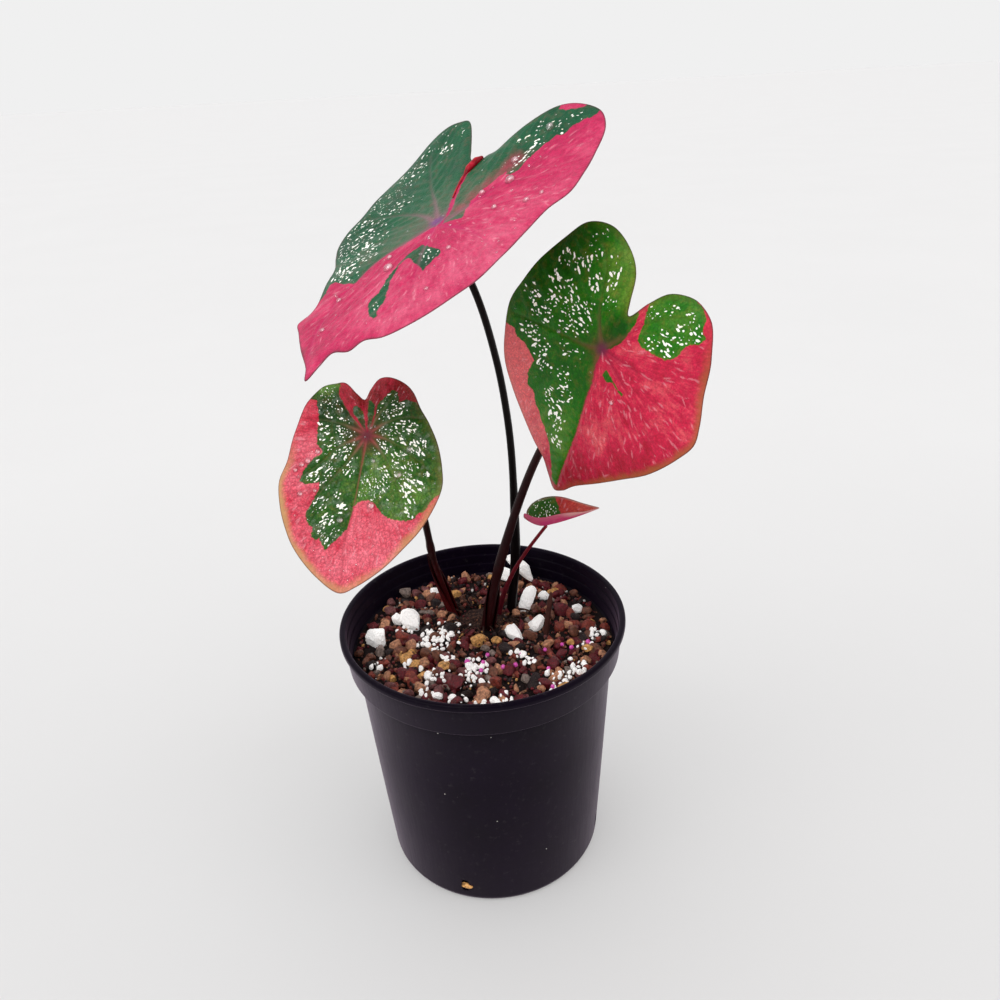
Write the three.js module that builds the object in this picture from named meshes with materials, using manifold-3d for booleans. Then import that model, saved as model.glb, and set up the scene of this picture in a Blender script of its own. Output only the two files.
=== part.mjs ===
// A caladium in its nursery pot: pot, potting mix, tuber, four petioles, four leaf blades and a
// dried leaf stalk. Millimetres, +Z up, origin at the middle of the pot's underside. Seen from
// the front, +X is to the right and +Y is away.
import * as THREE from "three";
import { mergeVertices } from "three/addons/utils/BufferGeometryUtils.js";
import Module from "manifold-3d";

const wasm = await Module();
wasm.setup();

// ---------- Driving dimensions ----------

const CLEARANCE = 0.3; // gap left between pieces that touch
const POT = {
  height: 117,
  rimRadius: 60,
  lipHeight: 2.6, // rolled lip at the very top
  lipEdge: 0.6, // its edge rounding
  collarHeight: 15.4, // straight band below the lip, down from the top
  collarTopRadius: 58.7,
  collarBottomRadius: 57.5,
  bodyTopRadius: 54.3,
  baseRadius: 48,
  baseEdge: 2.4, // rounding where wall meets base
  wall: 1.3,
  stackSteps: [5, 9.7], // thin steps inside the collar, down from the top
  stackDepth: 0.4,
  bevel: 0.5, // height of the slopes at the steps
  floor: 3.8, // height of the inside floor
  floorCorner: 1.5, // slope between the inside floor and wall
  footWidth: 6, // flat ring that the pot stands on
  centreFoot: 20, // radius of the flat disc in the middle of the underside
  recess: 1.6, // how far the underside is raised between the two
  sides: 48,
};
// Upright slots with round ends through the wall, the first at this angle from the front.
const DRAIN = { count: 4, firstAngle: -18.5, width: 3.6, height: 7, centreHeight: 9, depth: 12 };
const SOIL = {
  level: 103.9, // height of the surface in the middle
  edgeDrop: 0.5, // how much lower it lies at the wall
  swell: 0.5, // height of its gentle waves
  play: 0.5, // gap to the pot's wall
  rings: 7,
  sides: 36,
};
const STONES = {
  count: 96,
  smallest: 2.2, // half length of a stone
  largest: 4.4,
  field: 50.5, // stones lie within this radius
  sunk: 0.35, // share of a stone's height below the surface
  tilt: 0.35, // furthest turn out of level, in radians
  lumpTilt: 0.2,
  seed: 7,
};
// White pumice lumps: x, y, half length, half width, half height.
const LUMPS = [
  [-47, 5.8, 5.2, 4.0, 4.2],
  [-33, 17.5, 4.4, 3.2, 3.4],
  [-39, 20.5, 3.0, 2.4, 2.6],
  [20.5, 28.6, 5.0, 3.4, 3.6],
  [28.5, 32, 3.2, 2.2, 2.4],
  [12, 42, 2.6, 2.4, 5.6],
  [21, 44, 3.4, 2.4, 4.6],
  [23.4, 10.6, 3.6, 3.0, 3.4],
  [13.2, 4.2, 3.8, 2.8, 3.0],
  [42.5, 17.5, 3.8, 2.0, 2.0],
  [-21, 39, 2.8, 2.2, 2.4],
];
const TUBER = {
  centre: [0.5, 16.5, 94.5],
  radii: [18, 13, 11.4],
  bumps: 0.9,
  roots: 13, // short root ends around the crown
  rootLength: 13,
  rootRadius: 0.8,
  rootRise: 1.5, // height of a root over the mix where it leaves the crown
  rootFall: 5, // how far it has sunk into the mix at its end
};
const BLADE = 0.7; // thickness of a full-grown blade
const YOUNG_BLADE = 0.62;
const JOIN = { past: 1.5, patch: 0.3, cover: 7 };
const STEM = { steps: 17, sides: 9 };
const STALK = { steps: 7, sides: 7 };
const ROOT = { steps: 4, sides: 5 };

// Petioles: points along the stem from its foot in the tuber to the blade, and how its radius
// runs along it, as [share of the length, radius].
const STEMS = {
  petiole_top: {
    points: [
      [12.2, 18.6, 97],
      [13.4, 20.5, 106.5],
      [16, 21.5, 129.2],
      [16.6, 19.5, 159.6],
      [16.2, 16.5, 183.8],
      [14.8, 13, 202.4],
      [11.7, 6.5, 224.9],
      [5, -7, 254],
      [-5.7, -22, 279.5],
    ],
    radii: [[0, 2.1], [0.22, 2.1], [0.38, 1.55], [0.7, 1.35], [1, 1.2]],
    colour: 0x1c0d10,
  },
  petiole_right: {
    points: [
      [1.2, 9, 97.5],
      [3.5, 8.6, 111],
      [7.4, 10, 128.7],
      [12.7, 10.4, 146.6],
      [19, 9, 166],
      [25.1, 5.5, 183.1],
      [34.1, -4, 205.4],
      [40.1, -16, 221],
      [44.7, -35, 239],
    ],
    radii: [[0, 3.2], [0.12, 3.1], [0.2, 2.3], [0.35, 1.85], [0.6, 1.6], [1, 1.35]],
    colour: 0x2a1210,
  },
  petiole_left: {
    points: [
      [-10.4, 19.4, 98],
      [-13.3, 22.2, 105],
      [-15.9, 22, 114.9],
      [-18.1, 19, 126.8],
      [-19.6, 15, 138.9],
      [-20.3, 10, 151.8],
      [-21.1, 5, 162.9],
      [-25.7, -6, 185.2],
      [-35.9, -22, 209.2],
    ],
    radii: [[0, 2.3], [0.15, 2.7], [0.3, 2.6], [0.42, 1.5], [1, 1.25]],
    colour: 0x35100f,
  },
  petiole_small: {
    points: [
      [6.6, 16.8, 98],
      [8.6, 18, 109.1],
      [13.7, 17.2, 123.5],
      [20, 14.2, 136.3],
      [26.4, 8.2, 149.1],
      [28.9, 5, 154.4],
    ],
    radii: [[0, 1.3], [0.3, 1.1], [0.6, 0.8], [1, 0.7]],
    colour: 0x6a1524,
  },
};
const DRIED_STALK = {
  points: [
    [26, 0.4, 97],
    [26.9, 1.1, 104],
    [28, 2, 112.3],
    [29.7, 3.5, 122.4],
  ],
  radii: [[0, 1.2], [0.7, 1], [1, 0.6]],
  colour: 0x4a2a1c,
};

// Rings of a blade's grid, as shares of the way from the petiole to the margin.
const RINGS = [0.22, 0.55, 0.85, 1];

// Leaf blades. Each has a frame: "at" is where the petiole joins, "up" is square to the upper
// face and "tip" points along the midrib. In that frame x runs along the midrib to the tip, y
// runs across, and the outline is a closed smooth curve through hand-chosen points (x, y).
// The upper face rises above the frame's plane by
//   droop * x^2 towards the tip + lobes * x^2 towards the lobes + arch * y^2 (each per 100 mm)
//   + fold * (distance from the midrib, rounded off over "crease") + the margin's ripples.
// The outline starts at the tip and runs clockwise, seen from above. "join" says how the petiole
// meets the blade: it is run "past" its last point, then trimmed by the blade's middle, which is
// "patch" of the blade wide and "cover" thick.
const LEAVES = {
  leaf_left: {
    at: [-35.9, -22, 209.2],
    up: [-0.252, -0.766, 0.591],
    tip: [-0.146, -0.574, -0.806],
    form: { droop: 0.267, lobes: -0.061, arch: 0.019, fold: 0.156, crease: 5 },
    ripples: { height: 0.9, waves: 9, phase: 0.6 },
    outline: [
      [55.5, -0.5], [50.5, -10], [41.5, -19.5], [34, -24.2], [26, -27.6], [18, -29.2],
      [10, -27.2], [0, -26.2], [-6, -24.6], [-12, -22], [-17.5, -18], [-18.7, -13],
      [-18.8, -9.5], [-15, -5], [-13.3, -2.6], [-17, -0.8], [-20.5, 2.4], [-21, 7],
      [-19, 12.3], [-14.7, 16.9], [-9, 20], [-4, 23.5], [3, 27.4], [12, 30], [18, 30.8],
      [24, 29.4], [33, 25], [39.5, 19.8], [47, 13], [53, 5],
    ],
    thickness: BLADE,
    join: JOIN,
    colour: 0xb8404e,
  },
  leaf_right: {
    at: [44.7, -35, 239],
    up: [-0.646, -0.739, 0.193],
    tip: [-0.481, 0.197, -0.855],
    form: { droop: -0.657, lobes: -0.121, arch: -0.029, fold: -0.013, crease: 5 },
    ripples: { height: 1.1, waves: 8, phase: 2.1 },
    outline: [
      [72, 0], [65.5, -2.8], [58, -6.2], [54, -11.4], [47.4, -18.1], [39, -26.5], [31, -33],
      [21, -37.2], [10, -40.4], [0, -38.8], [-10, -37], [-20, -33.3], [-28.7, -28],
      [-32.2, -20], [-29.5, -10.5], [-25, -4.4], [-18, -0.6], [-14.2, 1.8], [-21, 4.8],
      [-27, 8.4], [-30, 14.5], [-30.2, 19], [-28, 25.5], [-20, 31.5], [-10, 36], [-2, 41],
      [4, 43.3], [12, 41.4], [24, 36], [34, 28.6], [45, 20.3], [57, 11], [67, 5],
    ],
    thickness: BLADE,
    join: JOIN,
    colour: 0xa83a4c,
  },
  leaf_top: {
    at: [-5.7, -22, 279.5],
    up: [-0.411, -0.271, 0.87],
    tip: [-0.577, -0.662, -0.479],
    form: { droop: -0.011, lobes: 0.269, arch: 0.057, fold: -0.079, crease: 5 },
    ripples: { height: 1.3, waves: 7, phase: 1.2 },
    outline: [
      [70.2, 1.4], [65.6, -3.2], [58, -14], [50.5, -23.4], [46.4, -28], [42.2, -26.2],
      [38.2, -26.4], [28, -31.4], [20.5, -34.4], [13, -41.5], [7, -45.8], [0, -47], [-8, -45.2],
      [-18, -46], [-26, -44.8], [-34, -41], [-43, -34.5], [-48, -26], [-48.2, -18], [-40, -12],
      [-33.5, -6], [-33, -1], [-38.8, 5.8], [-43, 14], [-47.6, 22], [-48.4, 30], [-45.8, 38.4],
      [-39.8, 42.6], [-30, 44.4], [-20, 46], [-11, 45.8], [-4, 41], [5, 38.5], [15, 37.8],
      [26, 36], [33, 31.8], [43, 25], [50.6, 17.4], [53, 11], [57.4, 8.8], [59, 2.8], [64.4, 2],
    ],
    thickness: BLADE,
    join: JOIN,
    colour: 0xb23a5e,
  },
  leaf_small: {
    at: [28.9, 5, 154.4],
    up: [-0.1, -0.2, 0.97],
    tip: [0.985, 0.12, 0.1],
    form: { droop: 0.5, lobes: 8, arch: 0, fold: 1.15, crease: 1.4 },
    ripples: { height: 0.15, waves: 5, phase: 0.4 },
    outline: [
      [22.4, 0], [15.5, -3], [7.5, -5.4], [0, -5.8], [-5.2, -5.2], [-8.4, -3.8], [-7.6, -2.2],
      [-2.6, -0.6], [-2.6, 0.6], [-7.6, 1.8], [-8.6, 3.2], [-5.6, 5.6], [0, 8], [7.5, 7.4],
      [15.5, 4],
    ],
    thickness: YOUNG_BLADE,
    join: { past: 0.4, patch: 0.5, cover: 1.2 },
    colour: 0x8c2f3a,
  },
};

// ---------- Helpers ----------

const radians = THREE.MathUtils.degToRad;
const vector = ([x, y, z]) => new THREE.Vector3(x, y, z);

// Repeatable random numbers from 0 to 1.
function seeded(seed) {
  let state = seed;
  return () => {
    state = (state + 0x6d2b79f5) | 0;
    let t = Math.imul(state ^ (state >>> 15), 1 | state);
    t = (t + Math.imul(t ^ (t >>> 7), 61 | t)) ^ t;
    return ((t ^ (t >>> 14)) >>> 0) / 4294967296;
  };
}

// A three.js geometry as a manifold solid.
function solid(geometry) {
  const bare = geometry.clone();
  bare.deleteAttribute("normal");
  bare.deleteAttribute("uv");
  const merged = mergeVertices(bare, 1e-3);
  return new wasm.Manifold(
    new wasm.Mesh({
      numProp: 3,
      vertProperties: merged.attributes.position.array,
      triVerts: new Uint32Array(merged.index.array),
    }),
  );
}

// A manifold solid as a three.js geometry; of several loose pieces, the largest stays.
function geometryOf(made) {
  const pieces = made.decompose().sort((a, b) => b.volume() - a.volume());
  const mesh = pieces[0].getMesh();
  const geometry = new THREE.BufferGeometry();
  geometry.setAttribute("position", new THREE.BufferAttribute(mesh.vertProperties, 3));
  geometry.setIndex(new THREE.BufferAttribute(mesh.triVerts, 1));
  return geometry;
}

function mesh(name, geometry, color, roughness) {
  const shaded = geometry.clone();
  shaded.computeVertexNormals();
  const material = new THREE.MeshStandardMaterial({ color, roughness, metalness: 0 });
  const made = new THREE.Mesh(shaded, material);
  made.name = name;
  return made;
}

// Straight-line reading of a list of [share, value].
function along(list, share) {
  for (let i = 1; i < list.length; i++) {
    const [s0, v0] = list[i - 1];
    const [s1, v1] = list[i];
    if (share <= s1) return v0 + ((v1 - v0) * (share - s0)) / (s1 - s0);
  }
  return list[list.length - 1][1];
}

// ---------- Pot ----------

// Half section of the pot, from the middle of the underside, up the outside, over the lip and
// down the inside.
function potProfile() {
  const p = POT;
  const collarBottom = p.height - p.collarHeight;
  const lipBottom = p.height - p.lipHeight;
  const foot = p.baseRadius - p.baseEdge;
  const baseArc = [0, 30, 60, 90].map((turn) => [
    foot + p.baseEdge * Math.sin(radians(turn)),
    p.baseEdge * (1 - Math.cos(radians(turn))),
  ]);
  const inside = p.collarTopRadius - p.wall;
  const [upperStep, lowerStep] = p.stackSteps.map((down) => p.height - down);
  return [
    [0, 0],
    [p.centreFoot, 0],
    [p.centreFoot + p.recess, p.recess],
    [foot - p.footWidth - p.recess, p.recess],
    [foot - p.footWidth, 0],
    ...baseArc,
    [p.bodyTopRadius, collarBottom - p.bevel],
    [p.collarBottomRadius, collarBottom],
    [p.collarTopRadius, lipBottom - p.bevel],
    [p.rimRadius, lipBottom],
    [p.rimRadius, p.height - p.lipEdge],
    [p.rimRadius - p.lipEdge, p.height],
    [inside + p.lipEdge, p.height],
    [inside, p.height - p.lipEdge],
    [inside, upperStep + p.bevel],
    [inside - p.stackDepth, upperStep],
    [inside - p.stackDepth, lowerStep + p.bevel],
    [inside - 2 * p.stackDepth, lowerStep],
    [p.collarBottomRadius - p.wall, collarBottom + p.wall],
    [p.bodyTopRadius - p.wall, collarBottom - p.bevel],
    [p.baseRadius - p.wall, p.floor + p.floorCorner],
    [p.baseRadius - p.wall - p.floorCorner, p.floor],
    [0, p.floor],
  ];
}

function lathe(points, sides) {
  const profile = points.map(([r, z]) => new THREE.Vector2(r, z));
  return new THREE.LatheGeometry(profile, sides).rotateX(Math.PI / 2);
}

function drainSlot(angle) {
  const half = DRAIN.width / 2;
  const straight = DRAIN.height / 2 - half;
  const shape = new THREE.Shape();
  shape.absarc(0, straight, half, 0, Math.PI);
  shape.absarc(0, -straight, half, Math.PI, 2 * Math.PI);
  const slot = new THREE.ExtrudeGeometry(shape, {
    depth: DRAIN.depth,
    bevelEnabled: false,
    curveSegments: 3,
  });
  return slot
    .translate(0, DRAIN.centreHeight, POT.baseRadius - DRAIN.depth / 2)
    .rotateX(Math.PI / 2)
    .rotateZ(angle);
}

function pot() {
  let made = solid(lathe(potProfile(), POT.sides));
  for (let i = 0; i < DRAIN.count; i++) {
    const angle = radians(DRAIN.firstAngle) + (i * 2 * Math.PI) / DRAIN.count;
    made = made.subtract(solid(drainSlot(angle)));
  }
  return made;
}

// ---------- Stems ----------

// A tube along the points, its radius read from "radii" and widened all round by "grow". "reach"
// runs it on past its last point.
function stem({ points, radii }, grow = 0, reach = 0, { steps, sides } = STEM) {
  const ends = points.map(vector);
  const last = ends.length - 1;
  const onward = ends[last].clone().sub(ends[last - 1]).normalize();
  ends[last].addScaledVector(onward, reach);
  const path = new THREE.CatmullRomCurve3(ends);
  const corners = Array.from({ length: sides }, (_, i) => (i * 2 * Math.PI) / sides);
  const circle = new THREE.Shape(
    corners.map((angle) => new THREE.Vector2(Math.cos(angle), Math.sin(angle))),
  );
  const tube = new THREE.ExtrudeGeometry(circle, {
    steps,
    extrudePath: path,
    bevelEnabled: false,
  });
  const centres = path.getSpacedPoints(steps);
  const position = tube.attributes.position;
  const point = new THREE.Vector3();
  for (let i = 0; i < position.count; i++) {
    point.fromBufferAttribute(position, i);
    let nearest = 0;
    centres.forEach((centre, k) => {
      if (centre.distanceTo(point) < centres[nearest].distanceTo(point)) nearest = k;
    });
    const radius = along(radii, nearest / steps) + grow;
    point.sub(centres[nearest]).multiplyScalar(radius).add(centres[nearest]);
    position.setXYZ(i, point.x, point.y, point.z);
  }
  return solid(tube);
}

// ---------- Leaf blades ----------

// The blade as a grid of rings about the petiole, closed round the margin. "under" and "over"
// are the distances of its two faces from the leaf surface, and "part" is how much of the blade
// is made, from the petiole outwards.
function blade(leaf, under, over, part = 1) {
  const curve = new THREE.CatmullRomCurve3(
    leaf.outline.map(([x, y]) => new THREE.Vector3(x, y, 0)),
    true,
    "centripetal",
  );
  const margin = curve.getPoints(2 * leaf.outline.length).slice(0, -1);
  const count = margin.length;
  const up = vector(leaf.up).normalize();
  const tipward = vector(leaf.tip).projectOnPlane(up).normalize();
  const across = new THREE.Vector3().crossVectors(up, tipward);
  const at = vector(leaf.at);
  const { droop, lobes, arch, fold, crease } = leaf.form;
  const { height, waves, phase } = leaf.ripples;

  // A point of the leaf surface: "share" of the way from the petiole to margin point i.
  const surface = (i, share) => {
    const rim = margin[(i + count) % count];
    const x = rim.x * share;
    const y = rim.y * share;
    const turn = Math.atan2(rim.y, rim.x);
    const bend = x > 0 ? droop : lobes;
    const ripple = height * Math.sin(waves * turn + phase) * share ** 4 * Math.sin(turn / 2) ** 2;
    const rise =
      (bend * x * x) / 100 +
      (arch * y * y) / 100 +
      fold * (Math.hypot(y, crease) - crease) +
      ripple;
    return at
      .clone()
      .addScaledVector(tipward, x)
      .addScaledVector(across, y)
      .addScaledVector(up, rise);
  };
  const point = (i, share, offset) => {
    const here = surface(i, share);
    const outward = surface(i, share + 0.02).sub(surface(i, share - 0.02));
    const round = surface(i + 1, share).sub(surface(i - 1, share));
    const square = new THREE.Vector3().crossVectors(outward, round).normalize();
    if (square.dot(up) < 0) square.negate();
    return here.addScaledVector(square, offset);
  };

  const rings = RINGS.map((share) => share * part);
  const faces = [under, over];
  const places = [];
  for (const offset of faces) {
    places.push(at.clone().addScaledVector(up, offset));
    for (const share of rings) {
      for (let i = 0; i < count; i++) places.push(point(i, share, offset));
    }
  }
  const perFace = 1 + rings.length * count;
  const index = [];
  const vertex = (face, ring, i) => face * perFace + 1 + ring * count + (i % count);
  for (const face of [0, 1]) {
    const add = (a, b, c) => index.push(...(face ? [a, c, b] : [a, b, c]));
    for (let i = 0; i < count; i++) {
      add(face * perFace, vertex(face, 0, i), vertex(face, 0, i + 1));
      for (let ring = 1; ring < rings.length; ring++) {
        const [a, b] = [vertex(face, ring - 1, i), vertex(face, ring - 1, i + 1)];
        const [c, d] = [vertex(face, ring, i), vertex(face, ring, i + 1)];
        add(a, c, d);
        add(a, d, b);
      }
    }
  }
  const outer = rings.length - 1;
  for (let i = 0; i < count; i++) {
    const [a, b] = [vertex(0, outer, i), vertex(0, outer, i + 1)];
    const [c, d] = [vertex(1, outer, i), vertex(1, outer, i + 1)];
    index.push(a, d, b, a, c, d);
  }
  const geometry = new THREE.BufferGeometry().setFromPoints(places);
  geometry.setIndex(index);
  return geometry;
}

// ---------- Tuber ----------

// A knobbly ellipsoid with short root ends round its crown, widened all round by "grow".
function tuber(grow = 0) {
  const [cx, cy, cz] = TUBER.centre;
  const [rx, ry, rz] = TUBER.radii;
  const ball = new THREE.IcosahedronGeometry(1, 3);
  const position = ball.attributes.position;
  for (let i = 0; i < position.count; i++) {
    const [x, y, z] = [position.getX(i), position.getY(i), position.getZ(i)];
    const knob = Math.sin(5 * x + 2 * z) * Math.sin(4 * y - 1) * Math.cos(3 * z + x);
    const out = TUBER.bumps * knob + grow;
    position.setXYZ(i, cx + x * (rx + out), cy + y * (ry + out), cz + z * (rz + out));
  }
  let made = solid(ball);
  const random = seeded(STONES.seed + 4);
  for (let i = 0; i < TUBER.roots; i++) {
    const angle = (i / TUBER.roots) * 2 * Math.PI + random() * 0.4;
    const reach = TUBER.rootLength * (0.75 + 0.5 * random());
    const lift = SOIL.level + TUBER.rootRise * (0.6 + 0.8 * random());
    const out = (share) => [
      cx + Math.cos(angle + share / 2) * (rx / 2 + reach * share),
      cy + Math.sin(angle + share / 2) * (ry / 2 + reach * share),
      lift - TUBER.rootFall * share * share,
    ];
    const root = stem(
      {
        points: [out(0), out(0.35), out(0.7), out(1)],
        radii: [[0, TUBER.rootRadius * 1.2], [1, TUBER.rootRadius * 0.5]],
      },
      grow,
      0,
      ROOT,
    );
    made = made.add(root);
  }
  return made;
}

// ---------- Potting mix ----------

// The surface swells in gentle waves, which die away to a level edge at the pot's wall.
function surfaceHeight(x, y) {
  const out = Math.hypot(x, y) / POT.collarBottomRadius;
  const wave = Math.sin(x / 9 + 1.3) * Math.cos(y / 11 - 0.4);
  return SOIL.level + SOIL.swell * wave * (1 - out * out) - SOIL.edgeDrop * out * out;
}

function bed() {
  const bottom = POT.floor + CLEARANCE;
  const collarBottom = POT.height - POT.collarHeight;
  const wallFoot = POT.baseRadius - POT.wall - SOIL.play;
  const wallTop = POT.bodyTopRadius - POT.wall - SOIL.play;
  const edge = POT.collarBottomRadius - POT.wall - SOIL.play;
  const profile = [
    [0, bottom],
    [wallFoot - POT.floorCorner, bottom],
    [wallFoot, bottom + POT.floorCorner],
    [wallTop, collarBottom - POT.bevel],
    [edge, collarBottom + POT.wall],
  ];
  for (let ring = SOIL.rings; ring >= 0; ring--) {
    profile.push([(edge * ring) / SOIL.rings, SOIL.level]);
  }
  const made = lathe(profile, SOIL.sides);
  const position = made.attributes.position;
  for (let i = 0; i < position.count; i++) {
    if (position.getZ(i) < SOIL.level - CLEARANCE) continue;
    position.setZ(i, surfaceHeight(position.getX(i), position.getY(i)));
  }
  return solid(made);
}

// A stone is a twenty-sided body, squashed, tilted and knocked out of true by "random".
function stone(random, [a, b, c], tilt) {
  const body = new THREE.IcosahedronGeometry(1, 0);
  const corners = new Map();
  const position = body.attributes.position;
  for (let i = 0; i < position.count; i++) {
    const place = [position.getX(i), position.getY(i), position.getZ(i)];
    const key = place.map((value) => value.toFixed(3)).join();
    if (!corners.has(key)) corners.set(key, 0.82 + 0.36 * random());
    const knock = corners.get(key);
    position.setXYZ(i, place[0] * knock * a, place[1] * knock * b, place[2] * knock * c);
  }
  return body.rotateX((2 * random() - 1) * tilt).rotateY((2 * random() - 1) * tilt);
}

function soil(cutters) {
  const random = seeded(STONES.seed);
  const pieces = [bed()];
  const golden = Math.PI * (3 - Math.sqrt(5));
  for (let i = 0; i < STONES.count; i++) {
    const radius = STONES.field * Math.sqrt((i + 0.5) / STONES.count);
    const angle = i * golden + (random() - 0.5) * 0.3;
    const x = radius * Math.cos(angle) + (random() - 0.5) * 2;
    const y = radius * Math.sin(angle) + (random() - 0.5) * 2;
    const size = STONES.smallest + (STONES.largest - STONES.smallest) * random() ** 2;
    const high = size * (0.55 + 0.25 * random());
    const shape = [size, size * (0.7 + 0.2 * random()), high];
    const grain = stone(random, shape, STONES.tilt)
      .rotateZ(random() * Math.PI)
      .translate(x, y, surfaceHeight(x, y) + high * (1 - 2 * STONES.sunk));
    pieces.push(solid(grain));
  }
  for (const [x, y, a, b, c] of LUMPS) {
    const lump = stone(random, [a, b, c], STONES.lumpTilt)
      .rotateZ((random() - 0.5) * 0.8)
      .translate(x, y, surfaceHeight(x, y) + c * (1 - 2 * STONES.sunk));
    pieces.push(solid(lump));
  }
  let made = wasm.Manifold.union(pieces);
  for (const cutter of cutters) made = made.subtract(cutter);
  return made;
}

// ---------- Assembly ----------

const group = new THREE.Group();

group.add(mesh("pot", geometryOf(pot()), 0x17171f, 0.38));

const stemClearances = Object.values(STEMS).map((one) => stem(one, CLEARANCE));
const stalkClearance = stem(DRIED_STALK, CLEARANCE, 0, STALK);
const soilCutters = [tuber(CLEARANCE), ...stemClearances, stalkClearance];
group.add(mesh("soil", geometryOf(soil(soilCutters)), 0x4a332a, 0.9));

let crown = tuber();
for (const cutter of stemClearances) crown = crown.subtract(cutter);
group.add(mesh("tuber", geometryOf(crown), 0x4a2c1e, 0.85));

for (const [name, leaf] of Object.entries(LEAVES)) {
  const half = leaf.thickness / 2;
  const { past, patch, cover } = leaf.join;
  group.add(mesh(name, blade(leaf, -half, half), leaf.colour, 0.45));
  const stemName = name.replace("leaf", "petiole");
  const trim = solid(blade(leaf, -half - CLEARANCE, cover, patch));
  const petiole = stem(STEMS[stemName], 0, past).subtract(trim);
  group.add(mesh(stemName, geometryOf(petiole), STEMS[stemName].colour, 0.4));
}
const stalk = geometryOf(stem(DRIED_STALK, 0, 0, STALK));
group.add(mesh("dried_stalk", stalk, DRIED_STALK.colour, 0.9));

export default group;
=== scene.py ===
"""A potted caladium: blotched leaves on slender petioles, in a nursery pot of gritty mix.

All lengths in the tables are millimetres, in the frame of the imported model. X runs to the right,
Y away from the front and Z up, with the pot standing on Z 0.
"""

import math

import bpy
import numpy as np
from bpy.props import FloatProperty, FloatVectorProperty, IntProperty, PointerProperty
from mathutils import Euler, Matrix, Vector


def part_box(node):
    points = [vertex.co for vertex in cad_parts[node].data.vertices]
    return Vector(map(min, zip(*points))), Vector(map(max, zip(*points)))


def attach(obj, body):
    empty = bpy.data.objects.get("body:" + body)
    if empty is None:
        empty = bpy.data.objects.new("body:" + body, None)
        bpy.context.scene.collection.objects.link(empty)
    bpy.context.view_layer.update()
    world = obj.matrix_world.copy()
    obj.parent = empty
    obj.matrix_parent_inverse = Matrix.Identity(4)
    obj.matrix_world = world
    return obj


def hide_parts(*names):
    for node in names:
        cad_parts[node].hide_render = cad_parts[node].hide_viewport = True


bl_info = {
    "name": "Potted caladium",
    "version": (1, 0, 0),
    "blender": (4, 5, 0),
    "location": "3D View > Sidebar > Caladium",
    "description": "Builds a caladium with blotched leaves in a nursery pot of gritty mix",
    "category": "Add Mesh",
}

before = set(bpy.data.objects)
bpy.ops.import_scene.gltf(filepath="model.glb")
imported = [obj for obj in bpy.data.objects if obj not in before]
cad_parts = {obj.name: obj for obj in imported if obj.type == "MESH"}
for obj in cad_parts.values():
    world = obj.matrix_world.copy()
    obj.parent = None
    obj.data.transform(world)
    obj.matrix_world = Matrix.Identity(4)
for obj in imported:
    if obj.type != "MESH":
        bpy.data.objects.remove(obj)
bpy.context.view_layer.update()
MM = 0.001
TURN = 2 * math.pi


# ---------- Lines, lattices and surfaces ----------


def line_through(points, count, closed=False):
    """A smooth line through the points, as count places at equal lengths along it.

    Each stretch is a cubic whose end slopes weigh the neighbouring points by the square roots of
    their distances (the centripetal Catmull-Rom line).
    """
    p = np.asarray(points, float)
    if closed:
        q = np.vstack([p[-1:], p, p[:2]])
    else:
        q = np.vstack([2 * p[:1] - p[1:2], p, 2 * p[-1:] - p[-2:-1]])
    a, b, c, d = q[:-3], q[1:-2], q[2:-1], q[3:]
    u, v, w = (
        np.sqrt(np.linalg.norm(n - m, axis=1))[:, None] for m, n in ((a, b), (b, c), (c, d))
    )
    start = ((b - a) / u - (c - a) / (u + v) + (c - b) / v) * v
    end = ((c - b) / v - (d - b) / (v + w) + (d - c) / w) * v
    t = np.linspace(0, 1, 24, endpoint=False)[None, :, None]
    b, c, start, end = (m[:, None] for m in (b, c, start, end))
    line = b + start * t + (3 * c - 3 * b - 2 * start - end) * t**2
    line = (line + (2 * b - 2 * c + start + end) * t**3).reshape(-1, p.shape[1])
    line = np.vstack([line, p[:1] if closed else p[-1:]])
    run = np.append(0, np.cumsum(np.linalg.norm(np.diff(line, axis=0), axis=1)))
    at = np.linspace(0, run[-1], count, endpoint=not closed)
    return np.stack([np.interp(at, run, line[:, k]) for k in range(p.shape[1])], 1)


def ramped(shares, knots):
    """A width at each share of a length, in straight runs between the (share, width) knots."""
    return np.interp(shares, [k[0] for k in knots], [k[1] for k in knots])


def unit(v):
    """The vectors, each at length 1."""
    return v / np.linalg.norm(v, axis=-1, keepdims=True)


def smooth(value, low=0.0, high=1.0):
    """0 below low, 1 above high, and the curve 3t² - 2t³ between."""
    t = np.clip((value - low) / (high - low), 0, 1)
    return t * t * (3 - 2 * t)


def lumpy(x, y, size, seed):
    """Smooth random heights from -1 to 1: chance values on a square lattice of that size, blended
    from corner to corner by the curve 3t² - 2t³."""
    cells = 64
    table = np.random.default_rng(seed).uniform(-1, 1, (cells, cells))
    u, v = np.asarray(x) / size + 500, np.asarray(y) / size + 500
    i, j = np.floor(u).astype(int), np.floor(v).astype(int)
    s, t = smooth(u - i), smooth(v - j)
    corner = [table[(i + a) % cells, (j + b) % cells] for a in (0, 1) for b in (0, 1)]
    near, far = corner[0] + (corner[1] - corner[0]) * t, corner[2] + (corner[3] - corner[2]) * t
    return near + (far - near) * s


def angles(count):
    """Even steps round a full turn, from 0."""
    return np.linspace(0, TURN, count, endpoint=False)


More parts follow.
